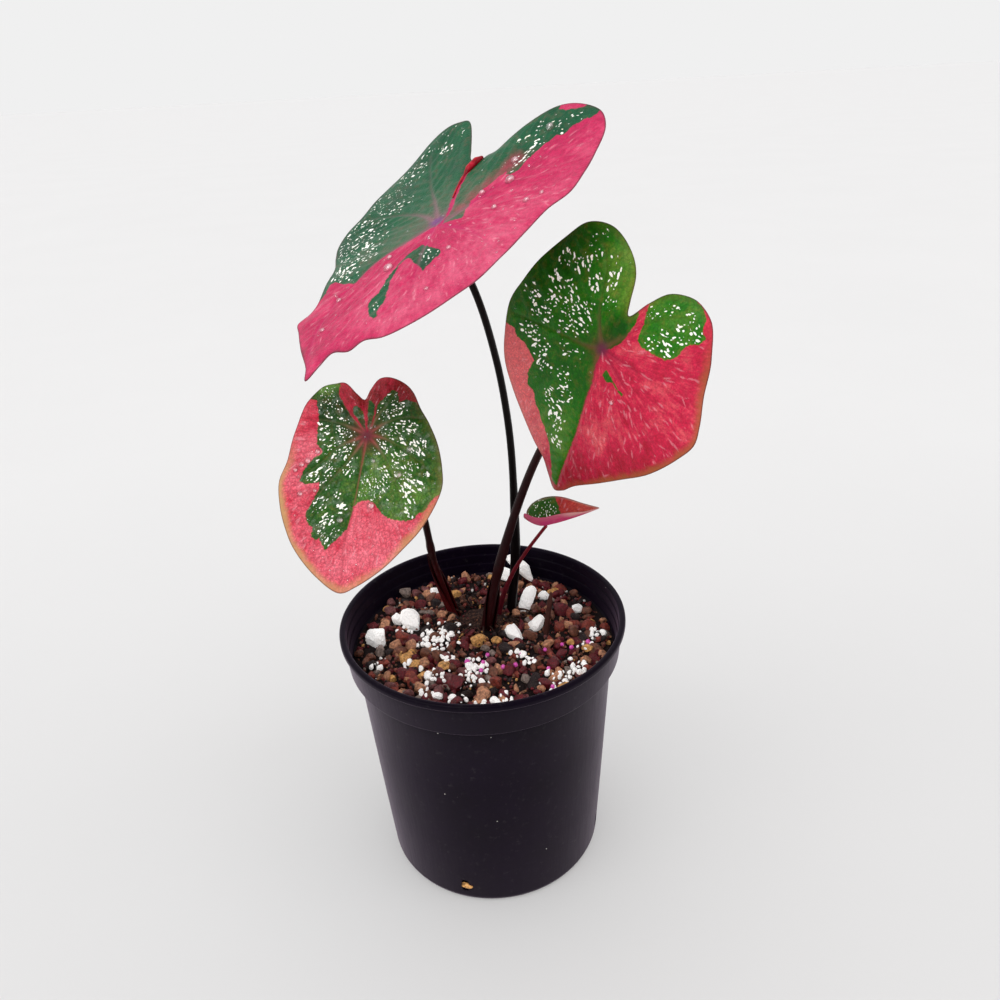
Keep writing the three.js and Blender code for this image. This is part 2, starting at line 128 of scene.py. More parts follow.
def closed_rows(body, poles):
    """A closed surface from rows of points round an axis, with a pole beyond each end: four-sided
    faces between the rows and a fan of triangles to each pole. They face outwards where each row
    runs anticlockwise about the axis."""
    rows, around = body.shape[:2]
    start, i = np.meshgrid(np.arange(rows - 1) * around, np.arange(around), indexing="ij")
    step = (i + 1) % around
    quads = np.stack([start + i, start + step, start + around + step, start + around + i], -1)
    low, high = rows * around, rows * around + 1
    first = np.stack([step[0], i[0], np.full(around, low)], 1)
    last = np.stack([i[0] + low - around, step[0] + low - around, np.full(around, high)], 1)
    return np.vstack([body.reshape(-1, 3), poles]), [quads.reshape(-1, 4), first, last]


def turned(profile, around):
    """The points of a profile of (radius, height) turned about the Z axis, a pole at each end: at
    angle a a profile point lies at (radius·cos a, radius·sin a, height)."""
    p = np.asarray(profile, float)
    a = angles(around)
    r, z = p[1:-1, :1], p[1:-1, 1:]
    body = np.stack([r * np.cos(a), r * np.sin(a), z + 0 * a], -1)
    return closed_rows(body, [[0, 0, p[0, 1]], [0, 0, p[-1, 1]]])


# The rings of a tube's domed end: their radii and how far they stand out, as shares of the end's
# radius. The pole stands out by DOME_POLE past the last ring.
DOME_RADII = np.array([0.94, 0.75, 0.4])
DOME_STEPS = np.array([0.3, 0.6, 0.85])[:, None]
DOME_POLE = 0.3


def tube(path, radii, around=20, flat=1.0, side=(0, 1, 0), wrinkle=None):
    """A round section carried along a path: at angle a it lies at path + radius·(cos a·u + flat·
    sin a·v), where v is the side direction made square to the path and u is square to both. Each
    end is closed by a low dome."""
    path, radii, side = (np.asarray(m, float) for m in (path, radii, side))
    along = unit(np.gradient(path, axis=0))
    v = unit(side - along * (along @ side)[:, None])
    u = np.cross(v, along)
    low = (path[:1] - along[:1] * radii[0] * DOME_STEPS)[::-1]
    path = np.vstack([low, path, path[-1:] + along[-1:] * radii[-1] * DOME_STEPS])
    radii = np.concatenate([radii[0] * DOME_RADII[::-1], radii, radii[-1] * DOME_RADII])
    u, v, along = (np.vstack([m[:1]] * 3 + [m] + [m[-1:]] * 3) for m in (u, v, along))
    a = angles(around)
    r = np.repeat(radii[:, None], around, 1)
    if wrinkle is not None:
        r = r * wrinkle(np.linspace(0, 1, len(radii))[:, None], a)
    ring = u[:, None] * np.cos(a)[:, None] + v[:, None] * np.sin(a)[:, None] * flat
    ends = along[[0, -1]] * radii[[0, -1], None] * DOME_POLE
    poles = path[[0, -1]] + ends * [[-1], [1]]
    return closed_rows(path[:, None] + ring * r[..., None], poles)


def ball(level):
    """The points and triangles of a ball: an icosahedron whose faces are cut in four and pushed
    out to the sphere, level times."""
    g = (1 + 5**0.5) / 2
    p = unit(np.array([
        [-1, g, 0], [1, g, 0], [-1, -g, 0], [1, -g, 0], [0, -1, g], [0, 1, g],
        [0, -1, -g], [0, 1, -g], [g, 0, -1], [g, 0, 1], [-g, 0, -1], [-g, 0, 1]], float))
    f = np.array([
        [0, 11, 5], [0, 5, 1], [0, 1, 7], [0, 7, 10], [0, 10, 11], [1, 5, 9], [5, 11, 4],
        [11, 10, 2], [10, 7, 6], [7, 1, 8], [3, 9, 4], [3, 4, 2], [3, 2, 6], [3, 6, 8],
        [3, 8, 9], [4, 9, 5], [2, 4, 11], [6, 2, 10], [8, 6, 7], [9, 8, 1]])
    for _ in range(level):
        pairs = np.sort(np.vstack([f[:, [0, 1]], f[:, [1, 2]], f[:, [2, 0]]]), 1)
        edges, which = np.unique(pairs, axis=0, return_inverse=True)
        ab, bc, ca = (which.ravel() + len(p)).reshape(3, -1)
        p = np.vstack([p, unit(p[edges].mean(1))])
        a, b, c = f.T
        parts = ((a, ab, ca), (b, bc, ab), (c, ca, bc), (ab, bc, ca))
        f = np.vstack([np.stack(t, 1) for t in parts])
    return p, f


def stones(centres, radii, rng, level, planes, least):
    """Broken stones: each is a ball cut by a few random planes, so that the point in direction d
    lies at the least of cut/(d·n) and 1, then stretched by its radii, turned and put at its
    centre."""
    p, f = ball(level)
    n = len(centres)
    normals = unit(rng.normal(size=(n, planes, 3)))
    cuts = rng.uniform(least, 0.84, (n, planes))
    dots = np.einsum("vk,nfk->nvf", p, normals)
    reach = np.where(dots > 1e-3, cuts[:, None, :] / np.maximum(dots, 1e-3), 9).min(2).clip(max=1)
    q = unit(rng.normal(size=(n, 4)) + np.array([2.2, 0, 0, 0]))
    w, x, y, z = q.T
    turn = np.stack(
        [1 - 2 * (y * y + z * z), 2 * (x * y - w * z), 2 * (x * z + w * y),
         2 * (x * y + w * z), 1 - 2 * (x * x + z * z), 2 * (y * z - w * x),
         2 * (x * z - w * y), 2 * (y * z + w * x), 1 - 2 * (x * x + y * y)], 1).reshape(n, 3, 3)
    shape = p[None] * reach[..., None] * np.asarray(radii)[:, None, :]
    shape = np.einsum("nij,nvj->nvi", turn, shape) + np.asarray(centres)[:, None, :]
    faces = f[None] + (np.arange(n) * len(p))[:, None, None]
    return shape.reshape(-1, 3), faces.reshape(-1, 3), len(p)


class Shell:
    """Surfaces, in millimetres, that end up in one mesh."""

    def __init__(self):
        self.points, self.faces, self.finish, self.values, self.count = [], [], [], [], 0

    def add(self, points, faces, finish=0, **values):
        """Takes a surface: its points, its faces as arrays of point numbers, the number of its
        material, and further numbers for each point by name. Gives itself back."""
        for f in faces if isinstance(faces, list) else [faces]:
            self.faces.append(np.asarray(f) + self.count)
            self.finish.append(np.full(len(f), finish))
        self.points.append(np.asarray(points))
        self.values.append(values)
        self.count += len(points)
        return self

    def make(self, name, materials, slot, *nodes, smooth=True):
        """The mesh object, riding with the model and standing for the CAD nodes."""
        mesh = bpy.data.meshes.new(name)
        points = np.concatenate(self.points) * MM
        corners = np.concatenate([f.ravel() for f in self.faces])
        sizes = np.concatenate([np.full(len(f), f.shape[1]) for f in self.faces])
        mesh.vertices.add(len(points))
        mesh.vertices.foreach_set("co", points.ravel().astype(np.float32))
        mesh.loops.add(len(corners))
        mesh.loops.foreach_set("vertex_index", corners.astype(np.int32))
        mesh.polygons.add(len(sizes))
        mesh.polygons.foreach_set("loop_start", (np.cumsum(sizes) - sizes).astype(np.int32))
        mesh.polygons.foreach_set("material_index", np.concatenate(self.finish).astype(np.int32))
        mesh.polygons.foreach_set("use_smooth", np.full(len(sizes), smooth))
        for key in sorted({k for v in self.values for k in v}):
            pairs = zip(self.values, self.points)
            numbers = np.concatenate([np.broadcast_to(v.get(key, 0.0), len(p)) for v, p in pairs])
            layer = mesh.attributes.new(key, "FLOAT", "POINT")
            layer.data.foreach_set("value", numbers.astype(np.float32))
        mesh.update(calc_edges=True)
        for material in materials:
            mesh.materials.append(material)
        piece = bpy.data.objects.new(name, mesh)
        bpy.context.scene.collection.objects.link(piece)
        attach(piece, "root")
        if nodes:
            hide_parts(*nodes)
        return piece


# ---------- Colours and shader nodes ----------


def colour(r, g, b):
    """The linear colour of a screen colour from 0 to 255."""
    c = np.array([r, g, b]) / 255
    return tuple(float(v) for v in np.where(c < 0.04045, c / 12.92, ((c + 0.055) / 1.055) ** 2.4))


def shades(*rows):
    """The stops of a colour ramp, from rows of a place and a screen colour."""
    return [(place, colour(*c)) for place, *c in rows]


class Nodes:
    """Adds shader nodes to a tree, each with its settings and inputs in one call."""

    def __init__(self, tree):
        self.tree = tree

    def add(self, kind, inputs=None, **settings):
        node = self.tree.nodes.new("ShaderNode" + kind)
        for key, value in settings.items():
            setattr(node, key, value)
        for key, value in (inputs or {}).items():
            if isinstance(value, bpy.types.NodeSocket):
                self.tree.links.new(value, node.inputs[key])
            else:
                node.inputs[key].default_value = value
        return node

    def math(self, kind, a, b=0.0, c=0.0, clamp=False):
        """One sum of up to three numbers."""
        return self.add("Math", {0: a, 1: b, 2: c}, operation=kind, use_clamp=clamp).outputs[0]

    def times(self, a, b, clamp=False):
        """The product of two numbers."""
        return self.math("MULTIPLY", a, b, clamp=clamp)

    def plus(self, a, share, b):
        """The first number times a share, plus the last."""
        return self.math("MULTIPLY_ADD", a, share, b)

    def mix(self, share, a, b, blend="MIX"):
        """A colour between a and b."""
        a, b = (v if isinstance(v, bpy.types.NodeSocket) else (*v, 1.0) for v in (a, b))
        made = self.add("Mix", {0: share, 6: a, 7: b}, data_type="RGBA", blend_type=blend)
        return made.outputs[2]

    def shaded(self, skin, tone):
        """The colour times a grey tone."""
        grey = self.add("CombineColor", {0: tone, 1: tone, 2: tone}).outputs[0]
        return self.mix(1.0, skin, grey, "MULTIPLY")

    def step(self, value, low, high, start=0.0, end=1.0, kind="SMOOTHSTEP"):
        """A step of the value from low to high, smooth unless its kind says otherwise."""
        inputs = {0: value, 1: low, 2: high, 3: start, 4: end}
        return self.add("MapRange", inputs, interpolation_type=kind).outputs[0]

    def ramp(self, value, stops, constant=False):
        """A colour read from (place, colour) stops."""
        node = self.add("ValToRGB", {0: value})
        node.color_ramp.interpolation = "CONSTANT" if constant else "LINEAR"
        knobs = node.color_ramp.elements
        for place, c in stops[2:]:
            knobs.new(place)
        for knob, (place, c) in zip(knobs, stops):
            knob.position = place
            knob.color = (*c, 1.0)
        return node.outputs[0]

    def noise(self, vector, scale, detail=2.0, rough=0.5):
        """Cloudy chance values from 0 to 1."""
        inputs = {"Vector": vector, "Scale": scale, "Detail": detail, "Roughness": rough}
        return self.add("TexNoise", inputs).outputs[0]

    def sway(self, vector, scale, detail=2.0, rough=0.5):
        """Cloudy chance values round 0."""
        return self.math("SUBTRACT", self.noise(vector, scale, detail, rough), 0.5)

    def cells(self, vector, scale, feature="F1"):
        """The distance inside random cells."""
        made = self.add("TexVoronoi", {"Vector": vector, "Scale": scale}, feature=feature)
        return made.outputs["Distance"]

    def stretched(self, vector, scale):
        """A place with its axes scaled."""
        return self.add("VectorMath", {0: vector, 1: scale}, operation="MULTIPLY").outputs[0]

    def place(self):
        """The place on the object, in millimetres."""
        return self.stretched(self.add("TexCoord").outputs["Object"], (1 / MM,) * 3)

    def own(self, name):
        """A number that the mesh carries."""
        return self.add("Attribute", attribute_name=name).outputs["Fac"]

    def bump(self, height, strength, distance):
        """A normal roughened by a height."""
        inputs = {"Height": height, "Strength": strength, "Distance": distance}
        return self.add("Bump", inputs).outputs[0]

    def group(self, name, **inputs):
        """What a shader group gives with its own values."""
        return self.add("Group", inputs, node_tree=bpy.data.node_groups[name]).outputs[0]


class Finish(Nodes):
    """A material with one Principled shader, whose sockets hold the plain values given."""

    def __init__(self, name, **sockets):
        self.material = bpy.data.materials.new(name)
        self.material.use_nodes = True
        super().__init__(self.material.node_tree)
        self.shader = next(n for n in self.tree.nodes if n.type == "BSDF_PRINCIPLED")
        for key, value in sockets.items():
            self.shader.inputs[key.replace("_", " ")].default_value = value

    def feed(self, **sockets):
        """The material, once these computed values are linked to the shader's sockets."""
        for key, value in sockets.items():
            self.tree.links.new(value, self.shader.inputs[key.replace("_", " ")])
        return self.material


def grainy(name, specular, stretch, grain, stops, gloss, bumps):
    """A finish ruled by one cloudy grain: its stretch along the axes, its size, detail and
    roughness, the (place, colour) stops read from it, the step from it to the gloss, and the
    strength and depth of its bumps."""
    t = Finish(name, Specular_IOR_Level=specular)
    cloud = t.noise(t.stretched(t.place(), stretch), *grain)
    return t.feed(Base_Color=t.ramp(cloud, stops), Roughness=t.step(cloud, *gloss),
                  Normal=t.bump(cloud, *bumps))


def shared_effect(name, result, **values):
    """A shader group that makes one result from a place and those values. Gives its nodes, its
    inputs and the socket for the result."""
    tree = bpy.data.node_groups.new(name, "ShaderNodeTree")
    tree.interface.new_socket("Place", in_out="INPUT", socket_type="NodeSocketVector")
    for label, value in values.items():
        socket = tree.interface.new_socket(label, in_out="INPUT", socket_type="NodeSocketFloat")
        socket.default_value = value
    tree.interface.new_socket(result, in_out="OUTPUT", socket_type="NodeSocketFloat")
    enter, leave = (tree.nodes.new("NodeGroup" + end) for end in ("Input", "Output"))
    return Nodes(tree), enter.outputs, leave.inputs[0]


def make_groups():
    """The effects that several finishes share."""
    t, enter, leave = shared_effect(
        "Ragged border", "Mask", Distance=0.0, Softness=0.3, Rag=1.0, Scale=0.9)
    sway = t.sway(enter["Place"], enter["Scale"], 4.0, 0.6)
    edge = t.plus(sway, enter["Rag"], enter["Distance"])
    low = t.times(enter["Softness"], -1.0)
    t.tree.links.new(t.step(edge, low, enter["Softness"]), leave)

    t, enter, leave = shared_effect("Cloudy tone", "Tone", Scale=0.1, Low=0.8, High=1.2)
    clouds = t.noise(enter["Place"], enter["Scale"], 5.0, 0.6)
    t.tree.links.new(t.step(clouds, 0.3, 0.7, enter["Low"], enter["High"], "LINEAR"), leave)

    t, enter, leave = shared_effect("Specks", "Mask", Scale=1.0, Size=0.2, Share=0.5)
    found = t.add("TexVoronoi", {"Vector": enter["Place"], "Scale": enter["Scale"]}).outputs
    chance = t.add("SeparateColor", {0: found["Color"]}).outputs[0]
    dot = t.step(found["Distance"], t.times(enter["Size"], 0.6), enter["Size"], 1.0, 0.0)
    t.tree.links.new(t.times(dot, t.math("LESS_THAN", chance, enter["Share"])), leave)


# ---------- Sizes and colours a user may change ----------


def tint(name, r, g, b):
    """A colour property whose default is that screen colour."""
    return FloatVectorProperty(
        name=name, description=f"Colour of the {name.lower()}", subtype="COLOR", size=3,
        min=0, max=1, default=colour(r, g, b),
    )


def span(name, description, default, low=0.0, high=1000.0):
    """A length property in metres whose default and limits are given in millimetres."""
    return FloatProperty(
        name=name, description=description, subtype="DISTANCE", unit="LENGTH",
        default=default * MM, min=low * MM, max=high * MM,
    )


class CaladiumPotSettings(bpy.types.PropertyGroup):
    """The nursery pot."""

    height: span("Height", "Height of the pot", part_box("pot")[1].z / MM)
    rim_radius: span("Rim radius", "Outer radius of the lip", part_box("pot")[1].y / MM)
    body_radius: span("Body radius", "Outer radius just under the collar", 54.3)
    base_radius: span("Base radius", "Outer radius at the foot", 48)
    collar: span("Collar", "Height of the collar with its lip", 15.4)
    wall: span("Wall", "Thickness of the wall", 1.3)
    plastic: tint("Plastic", 8, 2, 15)
    dust: tint("Dust", 200, 198, 190)


class CaladiumMixSettings(bpy.types.PropertyGroup):
    """The potting mix."""

    level: span("Level", "Height of the top of the mix", 103.9)
    pitch: span("Stone pitch", "Spacing of the loose stones", 3.9)
    seed: IntProperty(name="Seed", description="Which scatter of stones is made", default=7, min=0)
    earth: tint("Earth", 26, 10, 10)


class CaladiumLeafSettings(bpy.types.PropertyGroup):
    """How finely the blades are made."""

    around: IntProperty(name="Around", description="Places round each margin", default=600, min=60)
    rings: IntProperty(name="Rings", description="Rings on each upper face", default=142, min=10)


class CaladiumStageSettings(bpy.types.PropertyGroup):
    """Floor, light and camera."""

    floor: tint("Floor", 222, 222, 222)
    lens: FloatProperty(
        name="Lens", description="Focal length on a 36 mm wide frame", subtype="DISTANCE_CAMERA",
        default=30.6, min=1,
    )


# ---------- Pot ----------


def rounded(points, size, steps=4):
    """A profile whose inner corners are rounded: each corner gives way to a short arc-like curve
    p = (1-t)²·a + 2t(1-t)·corner + t²·b between places a and b that lie size away on its sides."""
    p = np.asarray(points, float)
    before, after = p[:-2] - p[1:-1], p[2:] - p[1:-1]
    long_a, long_b = (np.linalg.norm(v, axis=1, keepdims=True) for v in (before, after))
    a = p[1:-1] + before * np.minimum(size / long_a, 0.45)
    b = p[1:-1] + after * np.minimum(size / long_b, 0.45)
    t = np.linspace(0, 1, steps)[None, :, None]
    arc = (1 - t) ** 2 * a[:, None] + 2 * t * (1 - t) * p[1:-1][:, None] + t**2 * b[:, None]
    return np.vstack([p[:1], arc.reshape(-1, 2), p[-1:]])


def pot_profile(s):
    """The pot's half section from the middle of the underside round over the lip to the middle of
    the inside: (radius, height)."""
    height, rim, wall = s.height / MM, s.rim_radius / MM, s.wall / MM
    base, body = s.base_radius / MM, s.body_radius / MM
    collar = height - s.collar / MM
    inner = rim - 1.3 - wall
    return [
        (0, 0), (20, 0), (21.6, 1.6), (base - 10, 1.6), (base - 8.4, 0), (base - 2.4, 0),
        (base - 0.7, 0.7), (base, 2.4), (base + 2, 32), (base + 4.2, 67), (body, collar - 0.5),
        (body + 3.2, collar), (body + 4.4, height - 3.1), (rim, height - 2.6), (rim, height - 0.6),
        (rim - 0.6, height), (inner + 0.6, height), (inner, height - 0.6), (inner, height - 4.5),
        (inner - 0.4, height - 5), (inner - 0.4, height - 9.2), (inner - 0.8, height - 9.7),
        (inner - 1.2, height - 14.1), (body - wall, collar - 0.5), (base - wall, 5.3),
        (base - wall - 1.5, 3.8), (0, 3.8),
    ]


# A drain slot: half its width, half the height of its straight sides, the height of its middle,
# how far out it is cut, and the turn of the first of the four, in degrees.
SLOT_HALF_WIDTH, SLOT_STRAIGHT, SLOT_MIDDLE = 1.8, 1.7, 9
SLOT_DEPTHS, SLOT_TURN = (-42.0, -54.0), -18.5


def drain_cutter():
    """Four upright slots with round ends, through the wall by the foot: the outline of each is two
    half circles joined by straight sides."""
    a = angles(24) + 1e-3
    across = np.tile(SLOT_HALF_WIDTH * np.cos(a), 2)
    height = SLOT_HALF_WIDTH * np.sin(a) + SLOT_STRAIGHT * np.sign(np.sin(a)) + SLOT_MIDDLE
    depth = np.repeat(SLOT_DEPTHS, len(a))
    shell = Shell()
    for quarter in range(4):
        turn = math.radians(SLOT_TURN + 90 * quarter)
        x = across * math.cos(turn) - depth * math.sin(turn)
        y = across * math.sin(turn) + depth * math.cos(turn)
        body = np.stack([x, y, np.tile(height, 2)], 1).reshape(2, -1, 3)
        shell.add(*closed_rows(body, body.mean(1)))
    return shell


def pot_plastic(s):
    """Satin black plastic: faint upright drag marks, a little haze and a few specks of dust."""
    t = Finish("Pot plastic", Specular_IOR_Level=0.05, Sheen_Weight=0.17, Sheen_Roughness=0.38,
               Sheen_Tint=(0.95, 0.68, 0.98, 1))
    place = t.place()
    drag = t.noise(t.stretched(place, (1, 1, 0.04)), 0.9, 4.0, 0.65)
    haze = t.group("Cloudy tone", Place=place, Scale=0.05, Low=0.75, High=1.35)
    fine = t.noise(place, 3.5, 3.0)
    dust = t.group("Specks", Place=place, Scale=0.2, Size=0.06, Share=0.05)
    grime = t.times(t.step(t.noise(place, 0.35, 6.0, 0.7), 0.56, 0.75), 0.025)
    base = t.shaded(tuple(s.plastic), haze)
    base = t.mix(t.math("MAXIMUM", dust, grime), base, tuple(s.dust))
    rough = t.plus(dust, 0.4, t.step(drag, 0.3, 0.7, 0.34, 0.42))
    height = t.plus(drag, 0.8, t.times(fine, 0.25))
    return t.feed(Base_Color=base, Roughness=rough, Normal=t.bump(height, 0.16, 0.0002))


class CALADIUM_OT_pot(bpy.types.Operator):
    """Make the nursery pot: its half section turned about the middle, with four drain slots"""

    bl_idname = "caladium.pot"
    bl_label = "Nursery pot"

    def execute(self, context):
        s = context.scene.caladium_pot
        shell = Shell().add(*turned(rounded(pot_profile(s), 0.55), 192))
        pot = shell.make("nursery_pot", [pot_plastic(s)], "pot_plastic", "pot")
        cutter = drain_cutter().make("drain_cutter", [], "pot_plastic")
        slots = pot.modifiers.new("Drain slots", "BOOLEAN")
        slots.operation, slots.solver, slots.object = "DIFFERENCE", "EXACT", cutter
        context.view_layer.update()
        finished = pot.evaluated_get(context.evaluated_depsgraph_get())
        whole = bpy.data.meshes.new_from_object(finished)
        if len(whole.polygons) <= len(pot.data.polygons):
            raise RuntimeError("the drain slots were not cut")
        pot.modifiers.clear()
        pot.data = whole
        whole.name = pot.name
        whole.set_sharp_from_angle(angle=math.radians(40))
        bpy.data.objects.remove(cutter)
        return {"FINISHED"}


# ---------- Potting mix ----------


def bed_height(x, y, s):
    """The level of the mix: two slow waves that die out at the wall, and a slight fall to it."""
    out = (x**2 + y**2) / 57.5**2
    waves = 0.5 * np.sin(x / 9 + 1.3) * np.cos(y / 11 - 0.4) * (1 - out)
    return s.level / MM + waves - 0.5 * out


# The colours of the stones. A stone's tone is its colour's number, from 0, plus a half, over 9.
EARTHS = {
    "brown": (112, 66, 48), "redbrown": (132, 54, 42), "maroon": (96, 10, 24),
    "tan": (186, 130, 98), "gold": (214, 158, 92), "grey": (132, 116, 108),
    "mauve": (116, 66, 66), "dark": (26, 5, 8), "white": (250, 248, 244),
}
TONES = {name: (k + 0.5) / len(EARTHS) for k, name in enumerate(EARTHS)}

# The larger stones: place, mean radius and colour.
STONES = [
    (-16.5, -17.5, 2.8, "gold"), (-10, -21.5, 2.4, "mauve"), (3.5, -30.5, 2.8, "redbrown"),
    (-1.5, -37, 2.6, "tan"), (-12.5, -30, 3.3, "maroon"), (-27, -31, 2.4, "tan"),
    (-33.5, -11, 2.6, "gold"), (-25.5, -6.5, 2.3, "brown"), (15.5, -29.5, 2.1, "grey"),
    (0, -7, 1.8, "grey"), (22, -10, 2.1, "brown"), (31, -15.5, 2.5, "maroon"),
    (42.5, -12.5, 2.2, "gold"), (29, -27.5, 1.9, "tan"), (9.5, -23.5, 2.4, "maroon"),
    (6, -40.5, 2.1, "tan"), (-44, -4, 2.2, "grey"), (-49.5, -10, 1.8, "brown"),
    (40.5, -25, 2.3, "redbrown"), (3, -11, 1.6, "grey"), (-40.5, -21.5, 2.1, "tan"),
    (-43.5, 14.5, 2.6, "tan"), (-35.5, 42, 2.5, "grey"), (-30, 39.5, 2.2, "mauve"),
    (-43.5, 28.5, 1.6, "gold"), (-7, 51, 2.5, "tan"), (4.5, 52, 1.9, "grey"),
    (6, 49, 1.7, "gold"), (-1, 48.5, 1.9, "brown"), (-14.5, 51, 1.5, "tan"),
    (-12, 36.5, 1.9, "gold"), (-24, 45.5, 1.5, "tan"), (19, -0.5, 2.6, "brown"),
    (35.5, 17.5, 2.6, "maroon"), (33.5, 5, 2.6, "redbrown"), (39, 0.5, 2, "brown"),
    (23.5, 37.5, 1.5, "tan"), (5.5, -3, 2, "gold"), (-24.5, 16.5, 1.9, "brown"),
    (-41.5, 33.5, 1.9, "mauve"), (-34, 31, 1.8, "brown"), (22.5, 45, 1.8, "maroon"),
    (29.5, 38.5, 2.2, "maroon"), (34.5, 30, 2.2, "maroon"), (-24.5, -8, 2.6, "brown"),
    (-29, -14, 2.2, "gold"),
]
# Lumps of white pumice: place and half sizes.
PUMICE = [
    (-46.5, 4.4, 6.4, 4.6, 4.4), (-31.5, 15, 5.4, 3.9, 3.8), (-38, 19, 3, 2.4, 2.6),
    (20.5, 25.5, 6, 3.4, 3), (29, 30, 2.6, 1.9, 2.1), (12, 42, 2.4, 2.2, 7.5),
    (19.5, 45, 3, 2.4, 8), (23.4, 7.5, 3.6, 3, 3.4), (13.2, 1.5, 3.8, 2.8, 3),
    (42.5, 17.5, 3.8, 2, 2), (-21, 39, 2.8, 2.2, 2.4),
]
BEADS = [
    (1, -14), (-1, -19), (-2, -24), (-7.5, -18), (15, -15), (12, -22), (7, -22), (25, -13.5),
    (32.5, -10), (43.5, -9.5), (25, -26.5), (25.5, -37), (36, -13.5),
]
# Heaps of pumice crumbs: place and reach.
CRUMB_HEAPS = [
    (-16, 9, 4), (-20, 6, 5), (-17, 1, 5), (-23, 1, 4), (-21, -24, 4), (-5, -25, 5), (-3, -19, 4),
    (15, -15, 2.4), (18, -20, 2.4), (30, -30, 3), (36, -25, 4), (47, -2, 2.4), (-11, -39, 3),
    (-24, -34, 3), (-3, -42, 3), (6, -43, 3), (-34, 8, 2.4), (-44, -14, 2), (42, -12, 2),
    (27, -37, 3), (-33, -16, 2.4), (-14, -13, 2.4), (-20, -38, 2), (38, -28, 3),
]
# The chip that shows in a drain slot: its place and half sizes.
CHIP = (-14.9, -45.3, 8.2, 1.4, 1.1, 3.4)
# The bed's outline by the wall, as (radius, height), and the radius at which its crumbs die out.
BED_SIDE = [
    (0, 4.1), (30, 4.1), (44.7, 4.1), (46.2, 5.6), (48.3, 38), (50.4, 70), (52.5, 101.1),
    (55, 102),
]
BED_EDGE = 55.6
# The tuber: its middle, its half sizes, and how far from its middle the stones keep away.
TUBER, TUBER_SIZE, TUBER_REACH = (0.5, 16.5, 94.3), (17.6, 12.6, 11.2), 12.5
# How often the grit has each colour: in the stones, and in the fine grit between them.
STONE_SHARES = [0.2, 0.13, 0.25, 0.13, 0.04, 0.05, 0.06, 0.14]
FINE_SHARES = [0.27, 0.12, 0.22, 0.06, 0.02, 0.05, 0.06, 0.17, 0.03]


def stone_finish():
    """Mixed grit: each stone has its own earth colour, a mottle, a rough skin and a little dust."""
    t = Finish("Mixed grit", Specular_IOR_Level=0.42)
    place = t.place()
    stops = shades(*((k / len(EARTHS), *c) for k, c in enumerate(EARTHS.values())))
    skin = t.ramp(t.own("tone"), stops, True)
    skin = t.shaded(skin, t.group("Cloudy tone", Place=place, Scale=0.9, Low=0.28, High=1.62))
    pale = t.group("Specks", Place=place, Scale=2.6, Size=0.28, Share=0.3)
    skin = t.mix(t.times(pale, 0.35), skin, colour(190, 170, 140))
    grain = t.noise(place, 3.2, 5.0, 0.7)
    return t.feed(Base_Color=skin, Roughness=t.step(grain, 0.3, 0.7, 0.32, 0.7),
                  Normal=t.bump(grain, 0.8, 0.0005))


def earth_finish(s):
    """Damp dark earth of fine crumbs."""
    dark, light = (tuple(min(1, c * k) for c in s.earth) for k in (0.3, 1.9))
    stops = [(0.32, dark), (0.52, tuple(s.earth)), (0.72, light)]
    return grainy("Earth", 0.3, (1, 1, 1), (1.4, 6.0, 0.7), stops, (0.3, 0.7, 0.98, 0.75),
                  (0.9, 0.0009))


def pumice_finish():
    """White pumice: chalky, full of pores, its hollows a little brown. It glows a little with its
    own colour, a painted light.
    """
    # Painted light: the emission makes the pumice glow a little with its own colour, brighter than
    # its light allows.
    t = Finish("Pumice", Specular_IOR_Level=0.3, Emission_Strength=0.16)
    place = t.place()
    fine = t.noise(place, 2.2, 5.0, 0.7)
    depth = t.plus(fine, 0.5, t.times(t.cells(place, 1.3), 0.7))
    pale = shades((0.1, 212, 200, 184), (0.22, 250, 247, 242), (0.4, 255, 254, 252))
    skin = t.ramp(depth, pale)
    return t.feed(Base_Color=skin, Emission_Color=skin, Normal=t.bump(depth, 0.7, 0.0006),
                  Roughness=t.step(fine, 0.2, 0.8, 0.75, 0.95))


def bead_finish():
    """Coated pink feed beads with a soft gloss."""
    stops = shades((0.3, 190, 40, 150), (0.55, 228, 84, 186), (0.75, 244, 160, 216))
    return grainy("Feed beads", 0.5, (1, 1, 1), (1.1, 4.0, 0.6), stops, (0.2, 0.8, 0.28, 0.5),
                  (0.3, 0.0003))


def scatter(s, rng):
    """Places of the loose stones: a lattice of staggered rows inside the wall, each shifted by
    chance, without those under the listed stones, lumps and tuber."""
    pitch = s.pitch / MM
    rows = np.arange(-54, 54, pitch * 0.87)
    x, y = np.meshgrid(np.arange(-54, 54, pitch), rows)
    x = x + (np.arange(len(rows)) % 2)[:, None] * pitch / 2
    spots = np.stack([x.ravel(), y.ravel()], 1) + rng.uniform(-0.38, 0.38, (x.size, 2)) * pitch
    spots = spots[np.hypot(*spots.T) < 53.6]
    taken = np.array([a[:3] for a in STONES + PUMICE] + [(*TUBER[:2], TUBER_REACH)])
    apart = np.linalg.norm(spots[:, None] - taken[None, :, :2], axis=2) - taken[None, :, 2]
    return spots[apart.min(1) > 0.2]


def pour(shell, spots, z, radii, rng, level, planes, least, tones=None):
    """Adds stones at those spots and heights, each with its own tone."""
    points, faces, per = stones(np.column_stack([spots, z]), radii, rng, level, planes, least)
    shell.add(points, faces, **({} if tones is None else {"tone": np.repeat(tones, per)}))


